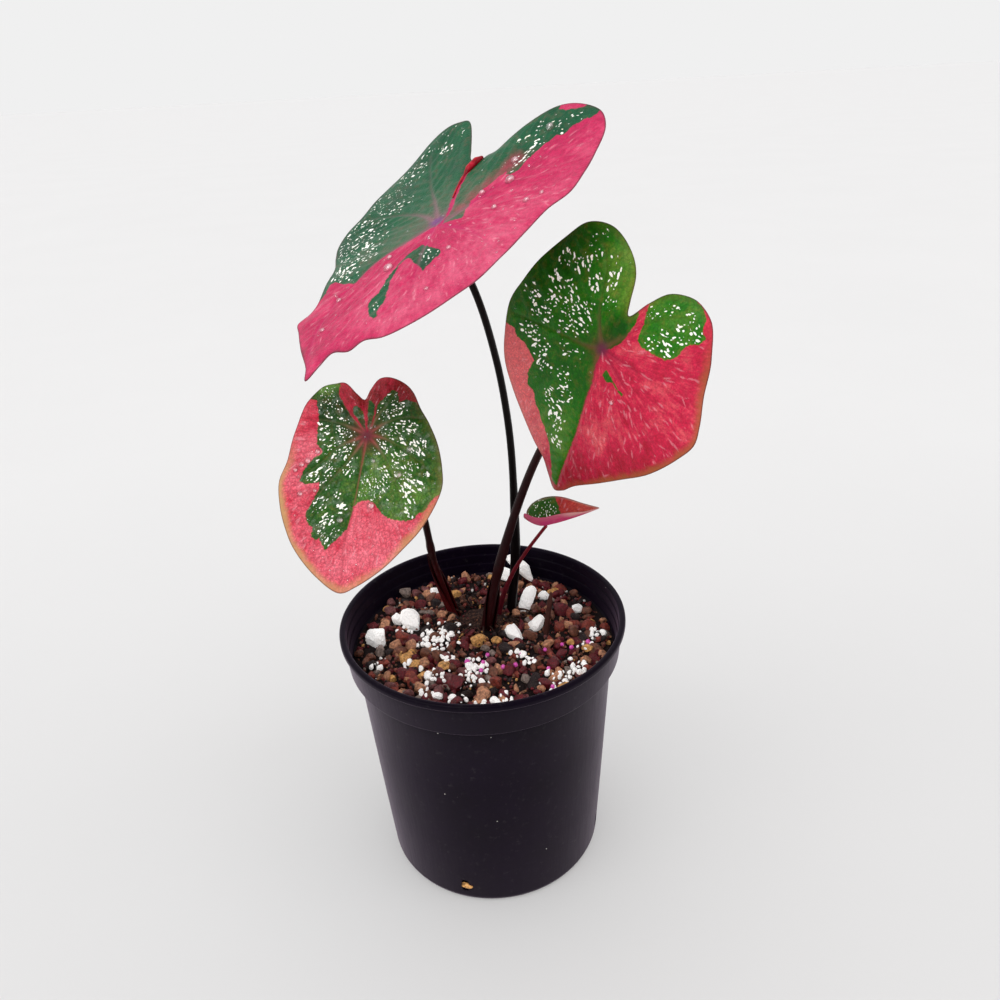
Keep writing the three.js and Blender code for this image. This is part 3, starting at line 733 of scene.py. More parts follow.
class CALADIUM_OT_mix(bpy.types.Operator):
    """Make the potting mix: the bed in the pot, its loose stones, grit, pumice and feed beads"""

    bl_idname = "caladium.mix"
    bl_label = "Potting mix"

    def execute(self, context):
        s = context.scene.caladium_mix
        self.bed(s)
        self.grit(s)
        self.lumps(s)
        return {"FINISHED"}

    def bed(self, s):
        """The bed fills the pot: its top lies at the level less 1.1, plus crumbs of three sizes
        that die out at the wall, and less a hollow behind the stems."""
        top = [(r, 0) for r in np.linspace(55.5, 0.0, 84)]
        points, faces = turned(BED_SIDE + top, 300)
        x, y, z = points.T
        crumbs = ((0.5, 3.1, 3), (0.4, 1.4, 4), (0.22, 0.8, 5))
        crumb = sum(high * lumpy(x, y, size, seed) for high, size, seed in crumbs)
        hollow = 3.2 * np.exp(-((x + 1) ** 2 / 60 + (y - 29) ** 2 / 14))
        inward = np.clip((BED_EDGE - np.hypot(x, y)) / 3, 0, 1)
        level = bed_height(x, y, s) - 1.1 + (crumb - hollow) * inward
        shell = Shell().add(np.stack([x, y, np.where(z < 1, level, z)], 1), faces)
        shell.make("potting_mix_bed", [earth_finish(s)], "potting_mix", "soil")

    def grit(self, s):
        """Stones of 2 to 6 mm over the bed, the larger ones finer, and fine grit of about 1 mm
        between them."""
        rng = np.random.default_rng(s.seed)
        spots = scatter(s, rng)
        n = len(spots)
        size = np.clip(rng.lognormal(0.6, 0.4, n), 0.8, 3.2)
        size = size * np.clip((BED_EDGE - np.hypot(*spots.T)) / size, 0.4, 1)
        radii = size[:, None] * rng.uniform([0.9, 0.75, 0.55], [1.6, 1.2, 0.95], (n, 3))
        z = bed_height(*spots.T, s) - 0.6 + radii[:, 2] * rng.uniform(-0.1, 0.5, n)
        tones = np.array(list(TONES.values()))
        tone = tones[rng.choice(8, n, p=STONE_SHARES)]
        grit = Shell()
        for some, level in ((size < 1.75, 1), (size >= 1.75, 2)):
            pour(grit, spots[some], z[some], radii[some], rng, level, 7, 0.4, tone[some])
        big = np.array([a[:3] for a in STONES])
        radii = big[:, 2:] * rng.uniform([1.3, 1.05, 0.85], [1.7, 1.35, 1.1], (len(big), 3))
        z = bed_height(*big[:, :2].T, s) - 0.4 + radii[:, 2] * 0.35
        pour(grit, big[:, :2], z, radii, rng, 2, 9, 0.45, [TONES[a[3]] for a in STONES])
        pour(grit, [CHIP[:2]], [CHIP[2]], [CHIP[3:]], rng, 2, 5, 0.6, TONES["gold"])
        grit.make("loose_stones", [stone_finish()], "potting_mix", smooth=False)

        n = 1700
        r, a = 54.4 * np.sqrt(rng.uniform(0, 1, n)), rng.uniform(0, TURN, n)
        spots = np.column_stack([r * np.cos(a), r * np.sin(a)])
        size = rng.uniform(0.35, 0.85, n)
        z = bed_height(*spots.T, s) - 0.3 + rng.uniform(-0.5, 0.9, n)
        tone = rng.choice(tones, n, p=FINE_SHARES)
        fine = Shell()
        pour(fine, spots, z, size[:, None] * rng.uniform(0.7, 1.3, (n, 3)), rng, 0, 4, 0.62, tone)
        fine.make("fine_grit", [stone_finish()], "potting_mix", smooth=False)

    def lumps(self, s):
        """Pumice lumps with a wavy skin, heaps of white crumbs and round feed beads."""
        rng = np.random.default_rng(s.seed + 1)
        pumice = Shell()
        x, y, *sizes = np.array(PUMICE).T
        z = bed_height(x, y, s) + sizes[2] * 0.3 + np.maximum(sizes[2] - 5, 0) * 1.6
        radii = np.stack(sizes, 1) * [1.3, 1.25, 1.2]
        p, f, per = stones(np.stack([x, y, z], 1), radii, rng, 3, 7, 0.5)
        wobble = 1 + 0.05 * lumpy(p[:, 0] + p[:, 2], p[:, 1] - p[:, 2], 1.1, 9)[:, None]
        centres = np.repeat(np.stack([x, y, z], 1), per, 0)
        pumice.add(centres + (p - centres) * wobble, f)

        n, gap = 480, 2.2
        heaps = np.array(CRUMB_HEAPS)
        home = heaps[rng.choice(len(heaps), n, p=heaps[:, 2] ** 2 / (heaps[:, 2] ** 2).sum())]
        x, y = (home[:, k] + rng.normal(0, 0.62, n) * home[:, 2] for k in (0, 1))
        cells = np.unique(np.round(np.column_stack([x, y]) / gap), axis=0)
        spots = cells * gap + rng.uniform(-0.8, 0.8, cells.shape)
        x, y = spots.T
        spots = spots[(np.hypot(x, y) < 54) & (np.hypot(x, y - 17) > 11)]
        n = len(spots)
        size = np.clip(rng.lognormal(-0.04, 0.36, n), 0.45, 1.9)
        z = bed_height(*spots.T, s) + 0.8 + rng.uniform(-0.3, 0.9, n)
        pour(pumice, spots, z, size[:, None] * rng.uniform(0.65, 1.35, (n, 3)), rng, 1, 6, 0.45)
        pumice.make("pumice_lumps", [pumice_finish()], "pumice", smooth=False)

        beads, spots = Shell(), np.array(BEADS)
        n = len(spots)
        z = bed_height(*spots.T, s) + rng.uniform(1.4, 2.4, n)
        pour(beads, spots, z, np.tile(rng.uniform(0.75, 1.15, (n, 1)), 3), rng, 2, 1, 0.83)
        beads.make("feed_beads", [bead_finish()], "fertiliser")


# ---------- Petioles, tuber and roots ----------

# Each petiole's places and its radii as (share of its length, radius).
PETIOLES = {
    "top": (
        [(12.2, 18.6, 97), (13.4, 20.5, 106.5), (16, 21.5, 129.2), (16.6, 19.5, 159.6),
         (16.2, 16.5, 183.8), (14.8, 13, 202.4), (11.7, 6.5, 224.9), (5, -7, 254),
         (-5.7, -22, 279.5)],
        [(0, 2.1), (0.22, 2.1), (0.38, 1.55), (0.7, 1.35), (1, 1.2)],
    ),
    "right": (
        [(1.2, 9, 97.5), (3.5, 8.6, 111), (7.4, 10, 128.7), (12.7, 10.4, 146.6), (19, 9, 166),
         (25.1, 5.5, 183.1), (34.1, -4, 205.4), (40.1, -16, 221), (44.7, -35, 239)],
        [(0, 3.2), (0.12, 3.1), (0.2, 2.3), (0.35, 1.85), (0.6, 1.6), (1, 1.35)],
    ),
    "left": (
        [(-10.4, 19.4, 98), (-13.3, 22.2, 105), (-15.9, 22, 114.9), (-18.1, 19, 126.8),
         (-19.6, 15, 138.9), (-20.3, 10, 151.8), (-21.1, 5, 162.9), (-25.7, -6, 185.2),
         (-35.9, -22, 209.2)],
        [(0, 2.3), (0.15, 2.7), (0.3, 2.6), (0.42, 1.5), (1, 1.25)],
    ),
    "small": (
        [(6.6, 16.8, 98), (8.6, 18, 109.1), (13.7, 17.2, 123.5), (20, 14.2, 136.3),
         (26.4, 8.2, 149.1), (28.9, 5, 154.4)],
        [(0, 1.3), (0.3, 1.1), (0.6, 0.8), (1, 0.7)],
    ),
}
DRIED_STALK = [(26, 0.4, 97), (26.9, 1.1, 104), (28, 2, 112.3), (29.7, 3.5, 122.4)]


def petiole_finish(name, low, mid, high, gloss):
    """Smooth dark stem: colour that changes with height, fine lengthwise streaks and soft gloss."""
    t = Finish(name, Specular_IOR_Level=0.1)
    place = t.place()
    rise = t.add("SeparateXYZ", {0: place}).outputs[2]
    streak = t.noise(t.stretched(place, (1, 1, 0.12)), 1.3, 4.0, 0.6)
    level = t.plus(t.math("SUBTRACT", streak, 0.5), 40.0, rise)
    share = t.step(level, 100.0, 260.0, kind="LINEAR")
    skin = t.ramp(share, shades((0.0, *low), (0.3, *mid), (1.0, *high)))
    skin = t.shaded(skin, t.group("Cloudy tone", Place=place, Scale=0.5, Low=0.75, High=1.3))
    return t.feed(Base_Color=skin, Roughness=t.step(streak, 0.3, 0.7, gloss, gloss + 0.15),
                  Normal=t.bump(streak, 0.35, 0.0003))


# Each sheath's top, the stem's radius inside it by height, and the side on which it is open.
SHEATHS = {
    "right": (131, [(97, 1.9), (125, 1.8), (134, 2.4)], 0.15),
    "left": (139, [(97, 1.4), (136, 1.35), (142, 1.8)], 0.9),
}
SHEATH_WALL, SHEATH_ROWS = 0.4, 61
PETIOLE_SKINS = {
    "top": ((10, 3, 5), (8, 3, 4), (14, 6, 6), 0.32),
    "right": ((40, 8, 10), (36, 9, 12), (48, 20, 18), 0.3),
    "left": ((74, 12, 16), (34, 9, 12), (32, 13, 13), 0.3),
    "small": ((70, 14, 24), (120, 26, 38), (130, 40, 50), 0.34),
}


def sheath(path, radius, opening, start, stop):
    """The open sheath at the foot of a petiole: a curved strip round the stem, as thick as a card.
    At share t of its height and angle a from its back it lies at path + radius·(cos a·u + sin a·v),
    and its half angle narrows from start to stop half turns at its pointed top."""
    keep = np.linspace(0, len(path) - 1, SHEATH_ROWS)
    path = np.stack([np.interp(keep, np.arange(len(path)), path[:, k]) for k in range(3)], 1)
    radius = np.interp(keep, np.arange(len(radius)), radius)
    along = unit(np.gradient(path, axis=0))
    front = np.array([math.sin(opening), -math.cos(opening), 0.0])
    u = -unit(front - along * (along @ front)[:, None])
    v = np.cross(along, u)
    t = np.linspace(0, 1, SHEATH_ROWS)[:, None]
    across = np.linspace(-1, 1, 25)[None]
    a = across * math.pi * (start + (stop - start) * t**1.6)
    ring = u[:, None] * np.cos(a)[..., None] + v[:, None] * np.sin(a)[..., None]
    outer = radius[:, None] + 0.25 * np.abs(across) ** 6 * (1 - t)
    outside, inside = (path[:, None] + ring * r[..., None] for r in (outer, outer - SHEATH_WALL))
    loop = np.concatenate([outside, inside[:, ::-1]], 1)
    return closed_rows(loop, loop[[0, -1]].mean(1))


class CALADIUM_OT_petioles(bpy.types.Operator):
    """Make the petioles and their sheaths, and the dried stalk"""

    bl_idname = "caladium.petioles"
    bl_label = "Petioles"

    def execute(self, context):
        for name, (path, radii) in PETIOLES.items():
            young = name == "small"
            count = 60 if young else 150
            line = line_through(path, count)[: -1 if young else -2]
            phase = np.random.default_rng(len(name)).uniform(0, 6.28, 3)

            def grooved(t, a, phase=phase):
                three, seven = np.sin(3 * a + phase[0] + 2 * t), np.sin(7 * a + phase[1])
                return 1 + 0.03 * three + 0.02 * seven

            shell = Shell()
            width = ramped(np.linspace(0, 1, count)[: len(line)], radii)
            if name in SHEATHS:
                top, inner, opening = SHEATHS[name]
                low = line[:, 2] < top
                shell.add(*sheath(line[low], width[low], opening, 0.84, 0.16))
                width = np.minimum(width, ramped(line[:, 2], inner))
            shell.add(*tube(line, width, 24, wrinkle=grooved))
            finish = petiole_finish(f"Petiole {name}", *PETIOLE_SKINS[name])
            shell.make(f"petiole_stem_{name}", [finish], "petiole", f"petiole_{name}")

        def shrunk(t, a):
            return 1 + 0.12 * np.sin(5 * a + 3 * t) + 0.08 * lumpy(t * 30, a * 2, 1.0, 11)

        radii = ramped(np.linspace(0, 1, 40), [(0, 1.3), (0.7, 1.05), (0.86, 1.15), (1, 0.5)])
        shell = Shell().add(*tube(line_through(DRIED_STALK, 40), radii, wrinkle=shrunk))
        finish = petiole_finish("Dried stalk", (60, 34, 30), (92, 52, 46), (110, 80, 60), 0.6)
        shell.make("dried_leaf_stalk", [finish], "dry_stalk", "dried_stalk")
        return {"FINISHED"}


def bark_finish():
    """Fibrous brown skin of tuber and roots."""
    stops = shades((0.32, 18, 8, 8), (0.5, 44, 22, 18), (0.7, 108, 72, 52))
    return grainy("Tuber skin", 0.3, (1, 1, 0.4), (1.1, 6.0, 0.7), stops, (0.3, 0.7, 0.95, 0.7),
                  (0.9, 0.0007))


class CALADIUM_OT_tuber(bpy.types.Operator):
    """Make the knobbly tuber and the roots that run out from it over the mix"""

    bl_idname = "caladium.tuber"
    bl_label = "Tuber and roots"

    def execute(self, context):
        """The tuber is a flattened ball: in direction d it reaches 1 plus three lumpy waves. A root
        leaves it at its own angle, runs out over the mix and dips into it."""
        s = context.scene.caladium_mix
        p, f = ball(5)
        x, y, z = p.T
        lumps = (0.07 * lumpy(3 * x + z, 3 * y - z, 0.9, 31)
                 + 0.04 * lumpy(9 * x, 9 * y + 5 * z, 1.0, 32)
                 + 0.02 * lumpy(30 * x, 30 * y + 20 * z, 1.0, 33))
        shell = Shell().add(np.array(TUBER) + p * TUBER_SIZE * (1 + lumps[:, None]), f)
        rng = np.random.default_rng(12)
        t = np.linspace(0, 1, 26)
        roots = 34
        for k in range(roots):
            a = TURN * k / roots + rng.uniform(-0.12, 0.12)
            long, bend = rng.uniform(6, 17), rng.uniform(-0.6, 0.6)
            a = a + bend * t
            x = TUBER[0] + 13 * math.cos(a[0]) + np.cos(a) * long * t
            y = TUBER[1] + 9 * math.sin(a[0]) + np.sin(a) * long * t
            arch = 1.6 * np.sin(math.pi * np.clip(t * 1.1, 0, 1)) * rng.uniform(0.2, 1)
            z = bed_height(x, y, s) + 0.9 + arch - 3.4 * t**3
            radii = rng.uniform(0.3, 0.62) * (1 - 0.6 * t)
            shell.add(*tube(np.stack([x, y, z], 1), radii, 8, side=(0, 0, 1)))
        shell.make("tuber_and_roots", [bark_finish()], "tuber", "tuber")
        return {"FINISHED"}


# ---------- Leaves ----------

# The way to the window that lights the plant.
WINDOW = unit(np.array([-0.6, -0.7, 0.75]))

# Each leaf in its own flat frame: x from the petiole towards the tip, y across it. The outline
# runs round from the tip. "form" is droop, lobes, arch, fold and crease, "ripples" height, waves
# and phase, "ribs" the main veins, "green" and "pink" the outlines of the blotches, and the washes
# and "blush" (x, y, reach, tone) shade the colours. "flecks" are the flecks' spacing, half length
# and half width, "zones" where they lie (x, y, reach, share, heading, size), "streaks" the number
# of pale streaks, and "drops" the larger drops of water (x, y, radius).
LEAVES = {}
LEAVES["top"] = {
    "at": (-5.7, -22, 279.5), "up": (-0.411, -0.271, 0.87), "tip": (-0.577, -0.662, -0.479),
    "form": (-0.011, 0.269, 0.057, -0.079, 5), "ripples": (1.3, 7, 1.2),
    "outline": [
        (70.2, 1.4), (65.6, -3.2), (58, -14), (50.5, -23.4), (46.4, -28), (42.2, -26.2),
        (38.2, -26.4), (28, -31.4), (20.5, -34.4), (13, -41.5), (7, -45.8), (0, -47), (-8, -45.2),
        (-18, -46), (-26, -44.8), (-34, -41), (-42.5, -35), (-47.4, -28), (-48.8, -22),
        (-49, -18.6), (-47.6, -16.6), (-42.5, -13.2), (-35.5, -9.3), (-31, -6.6), (-30, -3.5),
        (-32.5, -0.5), (-33.5, 3.5), (-38, 8), (-43, 14), (-47.6, 22), (-48.4, 30), (-45.8, 38.4),
        (-39.8, 42.6), (-30, 44.4), (-20, 46), (-11, 45.8), (-4, 41), (5, 38.5), (15, 37.8),
        (26, 36), (33, 31.8), (43, 25), (50.6, 17.4), (53, 11), (57.4, 8.8), (59, 2.8), (64.4, 2),
    ],
    "ribs": [
        [(1, 1), (6, -3), (14, -11), (19.5, -14.5), (25, -15.5), (29.5, -15.5), (34.5, -17),
         (41.5, -16), (50.5, -13.5), (59, -8), (68, -0.5)],
        [(1, 1), (-4, 2), (-16, -3), (-26.5, -5.5), (-31, -5)],
        [(0, 0.5), (-10.5, -9), (-19, -17.5), (-27.5, -24.5), (-37, -31)],
        [(0.5, 0), (-4.5, -11), (-6.5, -21), (-7, -30), (-7, -40)],
        [(1, 3), (-9, 9.5), (-19, 17), (-30, 26), (-41, 35)],
        [(2, 3), (4.5, 16.5), (8, 24.5), (14, 34)],
        [(2, 1), (14, 5), (26, 10.5), (38, 17)],
    ],
    "green": [
        [(2, 2), (6, -3), (10.5, -6), (14, -11), (20, -14.5), (25.5, -15.5), (28.5, -15.5),
         (28.5, -19.5), (27.5, -26.5), (28.5, -28.5), (32, -27), (36.5, -27), (39, -28),
         (39, -36), (20, -44), (8, -54), (0, -56), (-26, -54), (-38, -50), (-54, -38), (-60, -26),
         (-56, -13), (-46, -9), (-40, -6), (-33, -4), (-31, -5), (-26.5, -5.5), (-16, -3),
         (-4, 3)],
        [(1.5, 4), (-1, 10), (-9.5, 8), (-14, 9.5), (-19, 12), (-22.5, 14.5), (-21, 15.5),
         (-21, 17), (-23, 19), (-26.5, 20), (-30, 21.5), (-33.5, 24), (-36.5, 26.5), (-37, 29),
         (-40, 31), (-42.5, 34), (-43, 36.5), (-44.5, 37.5), (-46, 38), (-47, 39.5), (-54, 44),
         (-60, 30), (-54, 16), (-46, 6), (-38, -1), (-33, -2.5), (-26, -3.5), (-17, -1.5),
         (-11, -0.5), (-0.5, 3)],
        [(16.5, 0), (14, 1), (11.5, 3), (12.5, 7), (14, 12.5), (15.5, 13.5), (19, 12.5),
         (22, 12.5), (23.5, 12), (21.5, 9.5), (20, 5.5), (18, 3), (18.5, 1), (21.5, 0.5),
         (26, 1.5), (29.5, 3), (34, 5.5), (38, 7), (40, 7), (43.5, 9), (44.5, 8), (43, 5),
         (39, 1.5), (36.5, 1), (34, 2), (31, 1), (28, 0), (25.5, 0), (23, 0), (19.5, -0.5)],
    ],
    "pink": [
        [(-46.5, 23), (-46, 26), (-46.5, 29.5), (-47.5, 32.5), (-49, 33), (-56, 33), (-56, 22)],
        [(-31, -5.5), (-27, -5), (-20, -3.8), (-14.5, -2.4), (-9, -0.6), (-3, 2), (0, 3),
         (-2, 3.4), (-6, 2.6), (-14.5, -0.8), (-20.5, -2.4), (-27, -2.8), (-31, -2.5)],
    ],
    "pink_wash": [
        (-27, -4, 6, 0.0), (-3, 2, 3, -0.2), (15, 30, 22, 0.75), (40, 18, 18, 0.7),
        (60, -5, 14, 0.35), (-25, 35, 18, 0.5), (8, 8, 10, 0.35),
    ],
    "green_wash": [
        (6, -6, 12, 0.95), (20, -20, 9, 0.75), (-10, 2, 9, 0.85), (-30, -30, 22, 0.4),
        (-5, -40, 14, 0.3), (-38, 25, 12, 0.35), (18, 6, 9, 0.15),
    ],
    "flecks": (1.5, 0.5, 0.3), "streaks": 220,
    "zones": [
        (-41.5, -23.5, 7, 0.5, -40, 0.8), (-39.5, -35.5, 6.5, 0.6, -55, 0.8),
        (-35, -38.5, 6.5, 0.8, -55, 0.8), (-29, -34.5, 6, 0.95, -65, 0.9),
        (-27, -39.5, 7, 0.7, -65, 0.8), (-20.5, -41, 7, 0.8, -50, 0.8),
        (-13, -34.5, 8.5, 0.8, -65, 0.8), (-13.5, -26.5, 4, 0.5, -75, 0.8),
        (-7.5, -37.5, 8, 0.8, -45, 0.8), (-4, -42.5, 6.5, 0.95, -50, 0.8),
        (1, -33, 7.5, 0.6, -65, 0.8), (4, -39, 8, 0.7, -60, 0.8), (3, -34.5, 5, 0.9, -70, 0.9),
        (11, -38, 8, 0.8, -15, 0.9), (14, -26, 7.5, 1, -40, 1), (21, -27, 5.5, 1, 25, 1.2),
        (25.5, -26, 5, 0.6, 20, 1), (27, -17, 5, 0.5, -10, 1), (8.5, -24, 6.5, 0.4, -55, 0.8),
        (-39.5, 20, 3.5, 0.75, -70, 0.9), (-41.5, 25, 3.5, 0.8, -65, 0.8),
        (-43, 30.5, 3, 0.8, -75, 0.9), (-34.5, 14, 3, 0.7, -70, 0.9), (-32.5, 21, 3, 1, -45, 1.1),
        (-28.5, 18.5, 3, 1, -45, 1), (-24.5, 17.5, 2, 0.8, -10, 0.9),
        (-22, 17.5, 1.5, 1, -25, 1.2), (-37, 28, 2.5, 1, -65, 1.3),
        (-25.5, 11.5, 1.5, 0.5, 30, 0.8), (16, 10.5, 4.5, 0.8, 60, 0.8),
        (14, 13, 2, 0.8, -35, 0.8), (39.5, 5.5, 2.5, 0.9, 50, 0.8), (22.5, 1, 2.5, 0.6, 50, 0.7),
    ],
    "blush": [
        (-27, 15.5, 3.5, 0.6), (-22.5, 13, 3, 0.4), (-17.5, 10, 3, 0.42), (-12, 7.5, 3, 0.4),
        (-6, 6, 2.5, 0.45),
    ],
    "drops": [
        (-18.5, 18.5, 1.5), (-13, 10.5, 1.0), (-40, 22.5, 1.3), (-27, 15.5, 1.3),
        (22.5, -3.5, 1.5), (17, -8, 0.9), (36.5, -15.5, 0.9), (50, -10.5, 0.8), (-6, 20, 0.9),
        (-8.5, 31, 1.0), (-11.5, 35, 0.7), (13, 15, 0.8), (31, 19.5, 0.7),
    ],
    "edge_wash": [(60, -5, 12, 0.5)],
    "finish": {
        "pinks": [(156, 22, 66), (196, 38, 88), (226, 98, 130)],
        "greens": [(14, 66, 42), (26, 94, 60), (88, 106, 82)], "rib": (196, 48, 104),
        "rib_green": (142, 106, 114), "heart": (120, 62, 128), "edge": (96, 48, 60),
        "edge_width": 0.7, "halo": (104, 96, 86), "reach": 12, "vein_width": (0.5, 1.0, 11),
        "vein_end": 34, "grain": 0.1, "painted_sheen": 0.0, "crimson": 0.15,
    },
}
LEAVES["right"] = {
    "at": (44.7, -35, 239), "up": (-0.646, -0.739, 0.193), "tip": (-0.481, 0.197, -0.855),
    "form": (-0.657, -0.121, -0.029, -0.013, 5), "ripples": (1.1, 8, 2.1),
    "outline": [
        (72, 0), (65.5, -2.8), (58, -6.2), (54, -11.4), (47.4, -18.1), (39, -26.5), (31, -33),
        (21, -37.2), (10, -40.4), (0, -38.8), (-10, -37), (-20, -33.3), (-28.7, -28),
        (-32.2, -20), (-29.5, -10.5), (-25, -4.4), (-18, -0.6), (-14.2, 1.8), (-21, 4.8),
        (-27, 8.4), (-30, 14.5), (-30.2, 19), (-28, 25.5), (-20, 31.5), (-10, 36), (-2, 41),
        (4, 43.3), (12, 41.4), (24, 36), (34, 28.6), (45, 20.3), (57, 11), (67, 5),
    ],
    "ribs": [
        [(0, 0), (1.5, 0.5), (6, 1), (11.5, 3), (16.5, 3.5), (22.5, 4.5), (30.5, 5.5), (39, 5.5),
         (50, 4.5), (67.5, 2)],
        [(-0.5, -0.5), (-4, -4), (-9, -8), (-14.5, -11), (-21, -14), (-26, -19), (-29, -24)],
        [(0, 0), (-4, 2), (-8.5, 4.5), (-14.5, 7), (-20.5, 12), (-25, 18)],
        [(0, 0), (-1, 8.5), (-2.5, 19.5), (-3, 30), (-4, 36)],
        [(0, 0), (5, 13.5), (8.5, 23), (14, 30), (18, 34.5)],
        [(0.5, -0.5), (3.5, -7.5), (6, -17), (9.5, -28.5), (12.5, -37)],
    ],
    "green": [
        [(0, 0), (1.5, 0.5), (6, 1), (11.5, 3), (16.5, 3.5), (22.5, 4.5), (30.5, 5.5), (39, 5.5),
         (50, 4.5), (67.5, 2), (66, -0.5), (55, -1.5), (47, -4), (42, -7.5), (38, -11.5),
         (34, -15), (31.5, -17), (31, -20), (27, -21.5), (23.5, -21), (21, -21), (19, -24.5),
         (18, -28.5), (18.5, -31.5), (16.5, -33.5), (17.5, -37.5), (17, -46), (0, -48),
         (-24, -42), (-40, -30), (-40, -14), (-32, -4), (-19, 2), (-16.5, 4), (-13, 5), (-8, 4.5),
         (-5.5, 4.5), (-2, 2.5)],
        [(-21, 5), (-15.5, 7), (-10, 8.5), (-9, 11), (-9.5, 14), (-10, 16.5), (-10.5, 19.5),
         (-12.5, 21.5), (-15.5, 22.5), (-17.5, 22.5), (-19.5, 23.5), (-21.5, 26), (-24, 26.5),
         (-25, 24.5), (-28, 23), (-30, 19.5), (-30, 17), (-38, 14), (-34, 4), (-24, 2)],
        [(4.5, 5), (4.5, 6), (6.5, 11), (7, 14.5), (8, 14.5), (6.5, 9.5), (7.5, 7.5), (7, 5)],
    ],
    "pink": [],
    "pink_wash": [
        (5, 14, 14, 0.5), (8, 30, 14, 0.55), (44, 16, 9, 0.08), (28, 28, 9, 0.08),
        (20, 34, 8, 0.12), (26, 14, 10, 0.75), (24, -28, 14, 1.3), (44, -16, 10, 1.0),
        (-14, 30, 12, 0.5), (60, 6, 8, 0.3), (-10, 6, 7, 0.5),
    ],
    "green_wash": [
        (-14, -14, 8, 0.6), (-25, -10, 5, 1.0), (-19, -4, 5, 1.1), (10, -10, 16, 0.3),
        (38, -4, 9, 0.75), (58, 0, 8, 0.55), (-18, 14, 10, 0.6), (-2, -36, 8, 0.3),
        (-7.5, 2.5, 4.5, -0.3), (-16, -30, 9, 0.0),
    ],
    "flecks": (1.3, 0.52, 0.27), "streaks": 200,
    "zones": [
        (-29, -23, 2.5, 0.8, 75, 0.9), (-24.5, -22.5, 2.5, 0.7, 60, 0.8),
        (-15.5, -29, 3, 0.85, 50, 1), (-17.5, -22, 3.5, 0.85, 70, 1.15),
        (-22.5, -18.5, 2.5, 0.95, 65, 1), (-15.5, -14.5, 3, 1, 65, 1.2),
        (-24.5, -13.5, 2, 0.9, 35, 1), (-21.5, -10.5, 2, 1, 35, 1.2), (-18, -9.5, 2, 1, 20, 1.1),
        (-13, -6, 2.5, 0.7, 5, 0.8), (-28, -19, 1.5, 0.7, 25, 1), (-8, -28.5, 2.5, 0.8, 85, 1.2),
        (1, -33, 3.5, 0.75, -80, 1.1), (-2.5, -24.5, 3.5, 0.9, -85, 1.1),
        (-9, -22, 2.5, 0.9, 80, 1.2), (-4.5, -17.5, 4.5, 0.95, 90, 1),
        (-7.5, -12, 2.5, 0.8, -90, 0.9), (5, -26, 5, 0.7, -70, 1.1),
        (12.5, -28, 4, 0.75, -65, 1.2), (1.5, -13, 5, 0.85, -85, 1), (-3, -9.5, 2.5, 0.8, -90, 1),
        (15.5, -20, 4.5, 0.65, -50, 1.1), (8.5, -11.5, 3.5, 0.55, -55, 0.9),
        (5, -7, 3, 0.5, -70, 0.8), (19.5, -16, 3.5, 0.8, -10, 1.15),
        (16, -7.5, 4, 0.65, -70, 1.05), (9.5, -6.5, 3, 0.35, -65, 0.7),
        (22, -4, 3.5, 0.8, -60, 1.15), (28, -8, 4.5, 0.6, 90, 1.2),
        (34.5, -3, 4.5, 0.65, -5, 1.25), (42.5, -2, 3.5, 0.75, 20, 1.35),
        (-19, 8, 2.5, 1, -5, 0.9), (-24, 12, 2.5, 0.9, -30, 0.9), (-24.5, 17.5, 3, 0.85, -35, 1),
        (-25, 20.5, 2, 0.8, 45, 0.9), (-20, 20, 3, 0.85, -60, 1.05), (-16, 16, 3, 0.85, -80, 1.1),
        (-12.5, 13.5, 2.5, 0.8, -60, 1), (-22.5, 24.5, 2, 0.9, 85, 0.9),
        (-13.5, 18.5, 2.5, 1, -70, 1.2), (-13.5, 22.5, 1.5, 0.8, -50, 1),
    ],
    "blush": [(3, 2, 2.5, 0.5), (9, 3, 2.5, 0.4)], "drops": [(12, 12.5, 0.9), (5.5, -17, 0.7)],
    "edge_wash": [
        (30, 32, 22, 1.0), (-2, 42, 16, 1.0), (60, 8, 12, 0.5), (35, -30, 14, 0.4),
        (-28, 20, 10, 0.1), (-10, -35, 20, 0.0),
    ],
    "finish": {
        "pinks": [(150, 16, 28), (202, 34, 70), (236, 110, 112)],
        "greens": [(10, 78, 0), (34, 114, 10), (98, 144, 44)], "rib": (166, 26, 62),
        "rib_green": (98, 82, 44), "heart": (98, 36, 66), "edge": (160, 96, 50),
        "edge_width": 1.9, "halo": (66, 52, 22), "reach": 9, "vein_width": (0.4, 0.8, 10),
        "vein_end": 20, "grain": 0.16, "painted_sheen": 0.0, "crimson": 0.1,
    },
}
